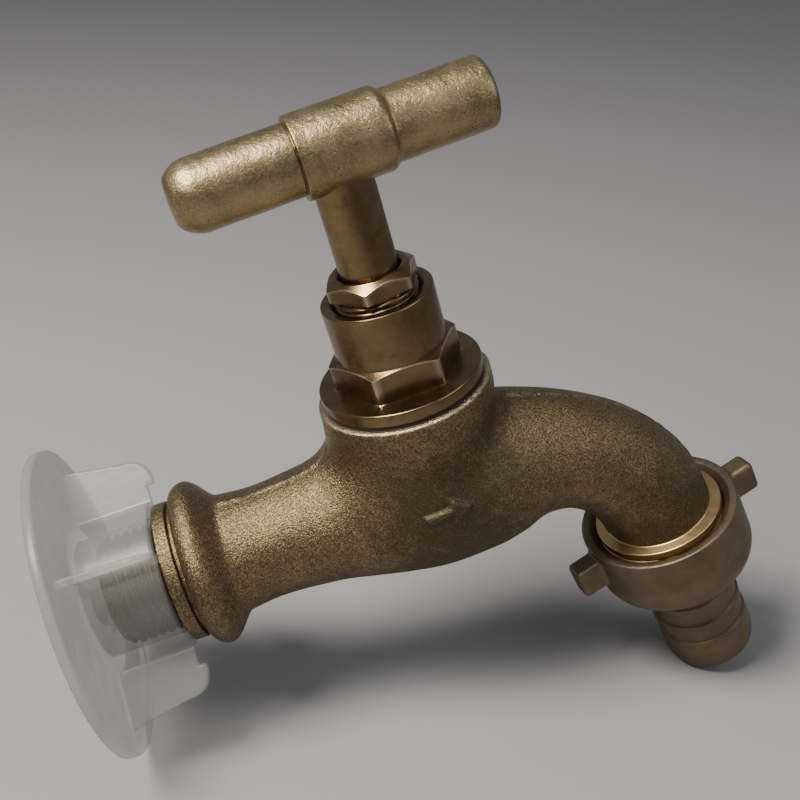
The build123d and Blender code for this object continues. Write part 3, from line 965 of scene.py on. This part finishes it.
def inlet_mesh(s):
    """Threaded spigot, flange ring and groove, turned about the inlet axis."""
    segments = 160
    end = node_span("tap_body", 0)[0]
    height, radius, angle = thread_rows(
        end, 0.0, s.thread_r, THREAD_DEPTH, s.thread_pitch, segments, 1.6, 1.2
    )
    bead_from = s.ring_w + s.groove_w
    ring = outline(
        [
            (9.3, 0.0, 0.0),
            (s.ring_r, 0.0, 0.35),
            (s.ring_r, s.ring_w, 0.3),
            (s.groove_r, s.ring_w + 0.1, 0.1),
            (s.groove_r, bead_from + 0.6, 0.0),
            (s.bore_r, bead_from + 0.6, 0.0),
        ]
    )
    bore = [(s.bore_r, bead_from), (s.bore_r, end + 0.5), (s.bore_r + 0.4, end), (9.2, end)]
    ring_h, ring_r = flat_rows(ring, segments)
    bore_h, bore_r = flat_rows(bore, segments)
    rows_h = np.concatenate([height, ring_h, bore_h])
    rows_r = np.concatenate([radius, ring_r, bore_r])
    grid = turn_rows(rows_r, rows_h, angle, (0, 0, 0), ALONG, UP)
    return finish_mesh(mesh_from_grids("inlet", [(grid, True)]), 40)


def outlet_origin(s):
    """Centre of the wing nut's mouth."""
    return Spout(s).end + s.lead * OUTLET_DIR


def collar_mesh(s):
    """Collar and thread of the spout's end, turned about the outlet axis."""
    segments = 160
    height, radius, angle = thread_rows(
        THREAD_START, SPOUT_FACE, s.collar_r, THREAD_DEPTH, s.thread_pitch, segments, 0.5, 1.2
    )
    top = -s.lead - OUTLET_OVERLAP
    lead = outline(
        [
            (s.spout_r - 0.4, top, 0.0),
            (s.spout_r + 0.05, -0.55, 0.25),
            (s.collar_r - 0.1, -0.3, 0.25),
            (s.collar_r - 0.1, THREAD_START, 0.0),
        ]
    )
    lead_h, lead_r = flat_rows(lead, segments)
    bore = [(12.0, SPOUT_FACE), (OUTLET_BORE_R + 0.4, SPOUT_FACE)]
    bore += [(OUTLET_BORE_R, SPOUT_FACE - 0.4), (OUTLET_BORE_R, top)]
    bore_h, bore_r = flat_rows(bore, segments)
    rows_h = np.concatenate([lead_h, height, bore_h])
    rows_r = np.concatenate([lead_r, radius, bore_r])
    grid = turn_rows(rows_r, rows_h, angle, outlet_origin(s), OUTLET_DIR, OUTLET_SIDE)
    return finish_mesh(mesh_from_grids("collar", [(grid, True)]), 40)


class HOSEBIB_OT_body(bpy.types.Operator):
    """Builds the cast body, its inlet thread and its outlet collar"""

    bl_idname = "hose_bib.body"
    bl_label = "Body"

    def execute(self, context):
        s = sizes(context, "hose_bib_body")
        place(context, casting_mesh(s), "body_casting", "tap", "cast_brass", ["tap_body"])
        place(context, inlet_mesh(s), "body_inlet", "tap", "cast_brass")
        place(context, collar_mesh(s), "body_outlet", "tap", "inner_brass")
        return {"FINISHED"}


# ---- Headgear ---------------------------------------------------------------
HEX_TURN = math.radians(31.3)  # the bonnet hexagon's turn about the spindle axis
HEX_DROP = 0.75  # how far the cone on its top falls at the corners
GLAND_TURN = math.radians(42)  # the gland nut's turn
GLAND_DROP = 1.35  # and the fall of its cone
GLAND_LAND_R = 6.7  # the flat inside that cone
GLAND_FOOT_Z = 38.5
GLAND_HOLE_R = 5.5
STUFFING_FLOOR_Z = 35.0
EDGE_WIDTH = 0.12  # of the painted highlight along an edge


def cone_meet(side, corner, high, drop, land):
    """Height at which a side of this radius meets the cone on the hexagon's top."""
    return high - drop * np.clip((side - land) / (corner - land), 0, 1)


def hex_angles(apothem, corner, per_flat=12, per_corner=4):
    """Angles round a hexagon whose corners are turned off at a radius.

    Even steps across each flat, and a few round each cut corner.
    """
    edge = math.acos(apothem / corner)
    flat = np.linspace(-edge, edge, per_flat)
    turned_off = np.linspace(edge, math.pi / 3 - edge, per_corner)[1:-1]
    one = np.concatenate([flat, turned_off])
    return (np.arange(6)[:, None] * math.pi / 3 + one).ravel()


def hex_radius(angle, apothem, corner):
    """Radius of that hexagon at each angle."""
    off = (angle + math.pi / 6) % (math.pi / 3) - math.pi / 6
    return np.minimum(apothem / np.cos(off), corner)


def turned_hexagon(angle, apothem, corner, low, high, drop, land):
    """Rows up a hexagon with a coned top.

    The cone falls from the land radius at the top to the corner radius, a drop lower.
    Each angle's side runs up until it meets the cone.
    """
    side = hex_radius(angle, apothem, corner)
    meet = cone_meet(side, corner, high, drop, land)
    share = np.array([0, 0.04, 0.25, 0.5, 0.75, 0.95, 1.0])[:, None]
    side_h = low + (meet - low) * share
    side_r = np.broadcast_to(side, side_h.shape)
    cone = np.array([0.06, 0.4, 0.7, 1.0])[:, None]
    cone_r = side + (np.minimum(land, side) - side) * cone
    cone_h = meet + (high - meet) * cone
    return np.concatenate([side_h, cone_h]), np.concatenate([side_r, cone_r])


def paint_edge_highlights(mesh, phase, apothem, corner, high, drop, land):
    """Paints a highlight on the edges of a hexagon: where its sides meet the cone and each other."""
    p = points_of(mesh)
    x, y = p[:, 0] - SPINDLE_X, p[:, 1]
    off, angle = np.hypot(x, y), np.arctan2(y, x) - phase
    side = hex_radius(angle, apothem, corner)
    meet = cone_meet(side, corner, high, drop, land)
    on_side = np.abs(off - side) < 0.05
    top = np.exp(-(((p[:, 2] - meet) / EDGE_WIDTH) ** 2))
    upright = (side > corner - 0.02) & (p[:, 2] < meet + 0.05) & (p[:, 2] > high - drop - 8)
    # Painted highlight: strong on the top edge, weaker on the upright corners, patchy along them.
    highlight_patchiness = 0.65 + 0.35 * ripple(p, 5.0, 21)
    put_attribute(mesh, "edge", on_side * np.maximum(top * 0.9, upright * 0.45) * highlight_patchiness)
    return mesh


def bonnet_mesh(s):
    """Flange, hexagon and barrel of the bonnet, turned about the spindle axis."""
    apothem = s.hex_af / 2
    corner = apothem / math.cos(math.pi / 6) - 0.14
    angle = hex_angles(apothem, corner)
    hex_low = FLANGE_Z + s.flange_t
    hex_high = hex_low + s.hex_h + HEX_DROP
    foot = outline(
        [
            (10.0, FLANGE_Z, 0.0),
            (s.flange_r, FLANGE_Z, 0.25),
            (s.flange_r, hex_low, 0.45),
            (10.0, hex_low, 0.0),
        ]
    )
    foot = foot[foot[:, 0] > 13.0]
    foot = np.concatenate([[(10.0, FLANGE_Z)], foot, [(corner + 0.25, hex_low)]])
    foot_h, foot_r = flat_rows(foot, len(angle))
    cone = (hex_high, HEX_DROP, s.barrel_r)
    hex_h, hex_r = turned_hexagon(angle, apothem, corner, hex_low + 0.2, *cone)
    barrel = outline(
        [
            (s.barrel_r, hex_high + 0.05, 0.0),
            (s.barrel_r, BARREL_TOP_Z, 0.45),
            (s.stuffing_r + 0.75, BARREL_TOP_Z, 0.12),
            (s.stuffing_r, BARREL_TOP_Z - 0.9, 0.12),
            (s.stuffing_r, STUFFING_FLOOR_Z + 1.0, 0.0),
            (s.stuffing_r, STUFFING_FLOOR_Z, 0.0),
        ]
    )
    barrel_h, barrel_r = flat_rows(barrel, len(angle))
    rows_h = np.concatenate([foot_h, hex_h, barrel_h])
    rows_r = np.concatenate([foot_r, hex_r, barrel_r])
    origin = np.array([SPINDLE_X, 0.0, 0.0])
    grid = turn_rows(rows_r, rows_h, angle + HEX_TURN, origin, UP, ALONG)
    mesh = finish_mesh(mesh_from_grids("bonnet", [(grid, True)]), 22)
    return paint_edge_highlights(mesh, HEX_TURN, apothem, corner, *cone)


def gland_mesh(s):
    """Threaded skirt and coned hexagon of the gland nut, with its spindle hole."""
    apothem = s.gland_af / 2
    corner = apothem / math.cos(math.pi / 6) - 0.12
    angle = hex_angles(apothem, corner)
    hex_low = GLAND_TOP_Z - s.gland_hex_h
    skirt = [
        (GLAND_HOLE_R - 0.1, GLAND_FOOT_Z),
        (s.gland_r - 0.5, GLAND_FOOT_Z),
        (s.gland_r - 0.5, GLAND_FOOT_Z + 1.9),
    ]
    skirt_h, skirt_r = flat_rows(skirt, len(angle))
    # A fine thread shows between the barrel and the hexagon: rounded crests 1 mm apart.
    count = np.arange(GLAND_FOOT_Z + 2.0, hex_low - 0.35, 0.08)
    crest = 0.5 + 0.5 * np.cos(2 * np.pi * count[:, None] - angle)
    thread_r = s.gland_r - 0.5 * (1 - crest**0.7)
    thread_h = np.broadcast_to(count[:, None], thread_r.shape)
    relief_h, relief_r = flat_rows(
        [(s.gland_r - 0.45, hex_low - 0.3), (s.gland_r - 0.45, hex_low - 0.02)], len(angle)
    )
    skirt_h = np.concatenate([skirt_h, thread_h, relief_h])
    skirt_r = np.concatenate([skirt_r, thread_r, relief_r])
    cone = (GLAND_TOP_Z, GLAND_DROP, GLAND_LAND_R)
    hex_h, hex_r = turned_hexagon(angle, apothem, corner, hex_low, *cone)
    hole = outline(
        [
            (GLAND_LAND_R - 0.1, GLAND_TOP_Z, 0.0),
            (GLAND_HOLE_R + 0.5, GLAND_TOP_Z, 0.1),
            (GLAND_HOLE_R, GLAND_TOP_Z - 0.5, 0.1),
            (GLAND_HOLE_R, GLAND_FOOT_Z + 0.5, 0.0),
        ]
    )
    hole_h, hole_r = flat_rows(hole, len(angle))
    rows_h = np.concatenate([skirt_h, hex_h, hole_h])
    rows_r = np.concatenate([skirt_r, hex_r, hole_r])
    origin = np.array([SPINDLE_X, 0.0, 0.0])
    grid = turn_rows(rows_r, rows_h, angle + GLAND_TURN, origin, UP, ALONG)
    mesh = finish_mesh(mesh_from_grids("gland", [(grid, True)]), 22)
    return paint_edge_highlights(mesh, GLAND_TURN, apothem, corner, *cone)


class HOSEBIB_OT_headgear(bpy.types.Operator):
    """Builds the bonnet and the gland nut"""

    bl_idname = "hose_bib.headgear"
    bl_label = "Headgear"

    def execute(self, context):
        s = sizes(context, "hose_bib_headgear")
        place(context, bonnet_mesh(s), "bonnet_turning", "tap", "turned_brass", ["bonnet"])
        place(context, gland_mesh(s), "gland_nut_turning", "tap", "turned_brass", ["gland_nut"])
        return {"FINISHED"}


# ---- Spindle and handle -----------------------------------------------------
SPINDLE_FOOT_R = 6.95  # the wide threaded foot, hidden in the bonnet
SPINDLE_STEP_Z = 28.0  # where the foot ends


def spindle_mesh(s):
    """Turned spindle with its threaded foot, straight up into the handle."""
    low = node_span("spindle", 2)[0]
    high = HANDLE_Z - 2.5
    corners = [
        (0.0, low, 0.0),
        (SPINDLE_FOOT_R, low, 0.5),
        (SPINDLE_FOOT_R, SPINDLE_STEP_Z - 0.5, 0.5),
        (s.spindle_r, SPINDLE_STEP_Z, 0.1),
        (s.spindle_r, high, 0.05),
        (0.0, high, 0.0),
    ]
    profile = outline(corners)
    origin = np.array([SPINDLE_X, 0.0, 0.0])
    return finish_mesh(mesh_from_grids("spindle", [(turn(profile, 128, origin, UP, ALONG), False)]))


def handle_mesh(s):
    """T handle: a lathe shape along the bar, with a raised middle band."""
    left, right = -s.bar_half, s.bar_half
    corners = [
        (0.0, left, 0.0),
        (s.bar_r - 2.0, left + 0.25, 1.4),
        (s.bar_r, left + 3.2, 2.6),
        (s.bar_r, -s.band_left - 0.35, 0.05),
        (s.bar_r - 0.22, -s.band_left - 0.1, 0.05),
        (s.bar_r - 0.1, -s.band_left, 0.02),
        (s.band_r, -s.band_left, 0.28),
        (s.band_r, s.band_right - 0.9, 0.7),
        (s.bar_r + 0.1, s.band_right, 0.2),
        (s.bar_r, s.band_right + 0.4, 0.2),
        (s.bar_r, right - 0.9, 0.9),
        (s.bar_r - 1.4, right - 0.05, 0.8),
        (0.0, right, 0.0),
    ]
    profile = outline(corners, 8)
    profile = profile[profile[:, 0] >= 0]
    profile = densify(profile, 0.5)
    origin = np.array([SPINDLE_X, 0.0, HANDLE_Z])
    bar = turn(profile, 144, origin, HANDLE_DIR, UP)
    centre = origin + ((bar - origin) @ HANDLE_DIR)[..., None] * HANDLE_DIR
    outward = bar - centre
    size = np.linalg.norm(outward, axis=-1, keepdims=True)
    swell = 0.05 * ripple(bar, 7.0, 11) * (size[..., 0] > 1)
    bar = bar + outward / np.maximum(size, 1e-6) * swell[..., None]
    mesh = finish_mesh(mesh_from_grids("handle", [(bar, False)]), 35)
    return held_in(mesh, "crutch_handle")


class HOSEBIB_OT_stem(bpy.types.Operator):
    """Builds the spindle and the T handle"""

    bl_idname = "hose_bib.stem"
    bl_label = "Spindle and handle"

    def execute(self, context):
        s = sizes(context, "hose_bib_stem")
        place(context, spindle_mesh(s), "spindle_turning", "stem", "turned_brass", ["spindle"])
        place(context, handle_mesh(s), "handle_casting", "stem", "handle_brass", ["crutch_handle"])
        return {"FINISHED"}


# ---- Hose union -------------------------------------------------------------
LUG_TURN = math.radians(-8.3)  # the lugs' turn about the outlet axis
LUG_DIR = math.cos(LUG_TURN) * OUTLET_SIDE + math.sin(LUG_TURN) * np.cross(OUTLET_DIR, OUTLET_SIDE)
LUG_ACROSS = np.cross(OUTLET_DIR, LUG_DIR)
WELL_END = 11.5  # from the nut's mouth to the floor of its threaded well
WELL_GAP = 0.13  # between the spout's thread and the well
MOUTH_DEPTH = 1.6  # of the well's flared mouth
TAIL_FLANGE_R = 11.9
TAIL_FLANGE = 9.2  # from the nut's mouth to the top of the tail's flange
TAIL_SHOULDER = 11.4  # and to its underside
BARB_DEPTH = 0.45


def local_to_outlet(p, origin):
    """Points in the outlet's own frame: along the lugs, across, and down the axis."""
    rel = p - origin
    return np.stack([rel @ LUG_DIR, rel @ LUG_ACROSS, rel @ OUTLET_DIR], -1)


def nut_distance(s, b, origin):
    """The wing nut: a drum with a rounded bottom, two lugs, a threaded well and a hole."""
    bend = s.nut_l - s.wall_l
    well_r = b.collar_r + WELL_GAP

    def distance(p):
        q = local_to_outlet(p, origin)
        off = np.hypot(q[..., 0], q[..., 1])
        down = q[..., 2]
        wide, deep = off - (s.nut_r - bend), down - s.wall_l
        drum = np.hypot(np.maximum(wide, 0), np.maximum(deep, 0)) - bend
        drum = drum + np.minimum(np.maximum(wide, deep), 0)
        drum = soft_max(drum, -down, 0.35)
        reach = (s.lug_r - s.nut_r + 3.0) / 2
        lug_at = np.stack(
            [np.abs(q[..., 0]) - (s.lug_r - reach), q[..., 1], down - s.lug_from - s.lug_h / 2], -1
        )
        lug = rounded_box(lug_at, (reach, s.lug_w / 2, s.lug_h / 2), 1.0)
        solid = soft_min(drum, lug, 0.9)
        taper = np.clip(1 - down / MOUTH_DEPTH, 0, 1) * (s.mouth_r - well_r)
        well = np.maximum(off - well_r - taper, down - WELL_END)
        return np.maximum(solid, -np.minimum(well, off - s.hole_r))

    return distance


def nut_mesh(s, b):
    """The wing nut's rough shells, pulled onto its distance field."""
    origin = outlet_origin(b)
    well_r = b.collar_r + WELL_GAP
    bend = s.nut_l - s.wall_l
    turned = np.linspace(0, math.pi / 2, 16)
    bottom = np.stack(
        [s.nut_r - bend + bend * np.cos(turned), s.wall_l + bend * np.sin(turned)], -1
    )
    profile = np.concatenate(
        [
            [(s.mouth_r, 0.0), (s.nut_r, 0.0)],
            bottom,
            [(s.hole_r, s.nut_l), (s.hole_r, WELL_END), (well_r, WELL_END), (well_r, MOUTH_DEPTH)],
        ]
    )
    shell = turn(profile, 128, origin, OUTLET_DIR, OUTLET_SIDE)
    grids = [(shell, True)]
    corner = np.array([(-1, -1), (1, -1), (1, 1), (-1, 1)]) / 2 * (s.lug_w, s.lug_h)
    for way in (-1, 1):
        reach = np.array([s.nut_r - 2.5, s.nut_r - 2.5, s.lug_r, s.lug_r]) * way
        swell = np.array([0.0, 1.0, 1.0, 0.0])[:, None, None]
        flat = corner[None] * swell
        centre = origin + (s.lug_from + s.lug_h / 2) * OUTLET_DIR
        grid = (
            centre
            + reach[:, None, None] * LUG_DIR
            + flat[..., :1] * LUG_ACROSS
            + flat[..., 1:] * OUTLET_DIR
        )
        grids.append((grid, False))
    return cast_mesh("nut", grids, nut_distance(s, b, origin), 0.5, 0.36)


def tail_mesh(s, b):
    """Hose tail: flange, shank, three shallow barbs and a rounded end."""
    corners = [
        (s.tail_bore_r, TAIL_FLANGE, 0.1),
        (TAIL_FLANGE_R, TAIL_FLANGE, 0.2),
        (TAIL_FLANGE_R, TAIL_SHOULDER, 0.2),
        (s.tail_r - 0.2, TAIL_SHOULDER, 0.2),
        (s.tail_r - 0.2, 18.5, 0.5),
    ]
    # Each barb: a groove, a short rise, and a land.
    for groove, land_end, rounding in ((20.6, 21.5, 0.3), (25.9, 26.8, 0.3), (31.2, 37.6, 0.6)):
        corners += [
            (s.tail_r - BARB_DEPTH, groove, 0.15),
            (s.tail_r, groove + 0.3, 0.2),
            (s.tail_r, land_end, rounding),
        ]
    corners += [
        (s.tail_r - 0.4, s.tail_end - 0.8, 0.6),
        (s.tail_r - 1.0, s.tail_end, 0.3),
        (s.tail_bore_r, s.tail_end, 0.4),
    ]
    grid = turn(outline(corners, 7), 144, outlet_origin(b), OUTLET_DIR, OUTLET_SIDE)
    return finish_mesh(mesh_from_grids("tail", [(grid, True)]), 45)


class HOSEBIB_OT_union(bpy.types.Operator):
    """Builds the wing nut and the hose tail"""

    bl_idname = "hose_bib.union"
    bl_label = "Hose union"

    def execute(self, context):
        s, b = sizes(context, "hose_bib_union"), sizes(context, "hose_bib_body")
        place(context, nut_mesh(s, b), "wing_nut_casting", "nut", "union_brass", ["wing_nut"])
        place(context, tail_mesh(s, b), "hose_tail_turning", "tail", "union_brass", ["hose_tail"])
        return {"FINISHED"}


# ---- Transport cap ----------------------------------------------------------
CAP_MOUTH_X = -0.5  # where the cap's tube ends, just short of the flange ring
PLUG_END_X = -6.0  # how far the plug reaches into the inlet
PLUG_WALL = 1.6
WING_TURN = math.radians(45)  # the first wing's turn about the inlet axis


def cap_distance(s, face, tip):
    """Disc, tube, plug and four wings that end past the tube's mouth, with soft edges."""
    inside = face + s.disc_t

    def distance(p):
        x = p[..., 0]
        off = np.hypot(p[..., 1], p[..., 2])
        disc = soft_max(off - s.disc_r, np.abs(x - (face + inside) / 2) - s.disc_t / 2, 0.5)
        tube_wall = np.maximum(off - s.tube_r, s.tube_bore_r - off)
        tube = soft_max(tube_wall, np.maximum(x - CAP_MOUTH_X, inside - 0.6 - x), 0.4)
        plug_wall = np.maximum(off - s.plug_r, s.plug_r - PLUG_WALL - off)
        plug = soft_max(plug_wall, np.maximum(x - PLUG_END_X, inside - 0.6 - x), 0.4)
        one = math.cos(WING_TURN) * p[..., 1] + math.sin(WING_TURN) * p[..., 2]
        other = math.cos(WING_TURN) * p[..., 2] - math.sin(WING_TURN) * p[..., 1]
        thick = np.minimum(np.abs(one), np.abs(other)) - s.wing_t / 2
        reach = off - s.wing_r - 2.0 * np.clip((-x - 4) / 12, 0, 1)
        corner = soft_max(reach, x - tip, 5.0)
        inner = np.where(x > CAP_MOUTH_X, s.wing_inner_r, s.tube_bore_r + 1.0) - off
        wing = soft_max(soft_max(thick, corner, 0.5), np.maximum(inner, inside - 0.6 - x), 0.4)
        return soft_min(soft_min(disc, tube, 0.5), soft_min(plug, wing, 0.4), 0.5)

    return distance


def cap_mesh(s):
    """The transport cap's rough shells, pulled onto its distance field."""
    face, tip = node_span("inlet_cap", 0)
    inside, foot = face + s.disc_t, face + 0.5
    disc = np.array([(0, face), (s.disc_r, face), (s.disc_r, inside), (0, inside)], float)
    grids = [(turn(disc, 160, (0, 0, 0), ALONG, UP), False)]
    sleeves = (
        (s.tube_bore_r, s.tube_r, CAP_MOUTH_X, 160),
        (s.plug_r - PLUG_WALL, s.plug_r, PLUG_END_X, 96),
    )
    for inner, outer, end, segments in sleeves:
        wall = np.array([(inner, foot), (outer, foot), (outer, end), (inner, end)])
        grids.append((turn(wall, segments, (0, 0, 0), ALONG, UP), True))
    web = np.array(
        [
            (s.tube_r - 1.0, foot),
            (s.wing_r + 2.0, foot),
            (s.wing_r, tip - 5.0),
            (s.wing_r - 1.4, tip - 1.4),
            (s.wing_r - 5.0, tip),
            (s.wing_inner_r, tip),
            (s.wing_inner_r, CAP_MOUTH_X),
            (s.tube_r - 1.0, CAP_MOUTH_X),
        ]
    )
    half = s.wing_t / 2
    for quarter in range(4):
        angle = WING_TURN + math.pi / 2 * quarter
        spoke = np.array([0.0, math.cos(angle), math.sin(angle)])
        side = np.array([0.0, -math.sin(angle), math.cos(angle)])
        flat = web[:, :1] * spoke + web[:, 1:] * ALONG
        middle = np.broadcast_to(flat.mean(0), flat.shape)
        low, high = -half * side, half * side
        grids.append((np.stack([middle + low, flat + low, flat + high, middle + high]), False))
    mesh = cast_mesh("cap", grids, cap_distance(s, face, tip), 0.55, 0.42)
    return held_in(mesh, "inlet_cap")


class HOSEBIB_OT_cap(bpy.types.Operator):
    """Builds the plastic transport cap"""

    bl_idname = "hose_bib.cap"
    bl_label = "Transport cap"

    def execute(self, context):
        s = sizes(context, "hose_bib_cap")
        place(context, cap_mesh(s), "transport_cap", "cap", "cap_plastic", ["inlet_cap"])
        return {"FINISHED"}


# ---- Parts that keep their CAD shape ----------------------------------------
class HOSEBIB_OT_inner(bpy.types.Operator):
    """Finishes the washers, the packing, the jumper and the grub screw"""

    bl_idname = "hose_bib.inner"
    bl_label = "Inner parts"

    def execute(self, context):
        shown = [name for name, node in frame["nodes"].items() if not node.hide_render]
        refinish(context, shown)
        return {"FINISHED"}


# ---- Stage ------------------------------------------------------------------
FLOOR_HALF = 1.4  # metres
FLOOR_GAP = 0.15  # millimetres left under the resting parts
SKY_COLOUR = (0.92, 0.95, 1.0, 1)
SKY_STRENGTH = 0.26


def resting_plane():
    """Tilt and height of the floor that the cap's disc and the hose tail both rest on."""
    tilt = np.linspace(0, math.radians(30), 601)
    normal = np.stack([np.sin(tilt), np.zeros_like(tilt), np.cos(tilt)], -1)
    cap_low, tail_low = (
        (points_of(frame["nodes"][name].data) @ normal.T).min(0) for name in ("inlet_cap", "hose_tail")
    )
    best = np.abs(cap_low - tail_low).argmin()
    return normal[best], cap_low[best] - FLOOR_GAP


def lay_floor(finish):
    """One flat sheet in the resting plane, facing up."""
    normal, height = resting_plane()
    ahead = np.cross(normal, ACROSS)
    corners = [
        normal * height * MM + a * FLOOR_HALF * ahead + b * FLOOR_HALF * ACROSS
        for a, b in ((-1, -1), (-1, 1), (1, 1), (1, -1))
    ]
    mesh = bpy.data.meshes.new("floor")
    mesh.from_pydata(corners, [], [(0, 1, 2, 3)])
    mesh.update()
    if mesh.polygons[0].normal @ Vector(normal) < 0:
        mesh.flip_normals()
    mesh.materials.append(plain_floor(finish))
    link(mesh, "floor")


def softbox(name, spot, aim, size, power, tint):
    """A square area light that looks at a point."""
    data = bpy.data.lights.new(name, "AREA")
    data.size = size
    data.energy = power
    data.color = tint
    lamp = bpy.data.objects.new(name, data)
    bpy.context.scene.collection.objects.link(lamp)
    lamp.location = spot
    lamp.rotation_euler = (Vector(aim) - Vector(spot)).to_track_quat("-Z", "Y").to_euler()


def hang_lights(context, stage, aim):
    """A pale sky, a key light overhead and a weak fill from the spout's side."""
    world = bpy.data.worlds.new("studio")
    world.use_nodes = True
    sky = world.node_tree.nodes["Background"]
    sky.inputs["Color"].default_value = SKY_COLOUR
    sky.inputs["Strength"].default_value = SKY_STRENGTH
    context.scene.world = world
    softbox("key", (-0.12, -0.13, 0.62), aim, 0.24, stage.light * 5.2, (1.0, 0.97, 0.92))
    softbox("fill", (0.55, -0.35, 0.30), aim, 0.4, stage.light * 0.6, (0.95, 0.97, 1.0))


def set_camera(context, stage, aim):
    """The camera, from its two angles, its roll and its distance to the target."""
    across, rise = stage.azimuth, stage.elevation
    back = Vector(
        (math.sin(across) * math.cos(rise), -math.cos(across) * math.cos(rise), math.sin(rise))
    )
    right = Vector((math.cos(across), math.sin(across), 0))
    up = back.cross(right)
    c, k = math.cos(stage.roll), math.sin(stage.roll)
    right, up = right * c + up * k, up * c - right * k
    camera = bpy.data.objects.new("camera", bpy.data.cameras.new("camera"))
    context.scene.collection.objects.link(camera)
    turned = Matrix((right, up, back)).transposed().to_4x4()
    camera.matrix_world = Matrix.Translation(Vector(aim) + back * stage.distance) @ turned
    camera.data.lens = stage.lens
    camera.data.sensor_width = 36.0
    camera.data.clip_start = 0.005
    context.scene.camera = camera


class HOSEBIB_OT_stage(bpy.types.Operator):
    """Sets the floor, the lights and the camera"""

    bl_idname = "hose_bib.stage"
    bl_label = "Stage"

    def execute(self, context):
        stage = context.scene.hose_bib_stage
        aim = (stage.target_x, 0, stage.target_z)
        lay_floor(context.scene.hose_bib_finish)
        hang_lights(context, stage, aim)
        set_camera(context, stage, aim)
        return {"FINISHED"}


class HOSEBIB_PT_panel(bpy.types.Panel):
    """Buttons for the tap's pieces and the stage"""

    bl_idname = "HOSEBIB_PT_panel"
    bl_label = "Hose Bib"
    bl_space_type = "VIEW_3D"
    bl_region_type = "UI"
    bl_category = "Hose Bib"

    def draw(self, context):
        for operator in OPERATORS:
            self.layout.operator(operator.bl_idname)


OPERATORS = (
    HOSEBIB_OT_body,
    HOSEBIB_OT_headgear,
    HOSEBIB_OT_stem,
    HOSEBIB_OT_union,
    HOSEBIB_OT_cap,
    HOSEBIB_OT_inner,
    HOSEBIB_OT_stage,
)
CLASSES = (*GROUPS.values(), *OPERATORS, HOSEBIB_PT_panel)


def register():
    for item in CLASSES:
        bpy.utils.register_class(item)
    for name, group in GROUPS.items():
        setattr(bpy.types.Scene, name, PointerProperty(type=group))


def unregister():
    for name in GROUPS:
        delattr(bpy.types.Scene, name)
    for item in reversed(CLASSES):
        bpy.utils.unregister_class(item)


def main():
    """Builds everything in order."""
    register()
    for operator in OPERATORS:
        group, action = operator.bl_idname.split(".")
        getattr(getattr(bpy.ops, group), action)()


if __name__ == "__main__":
    main()
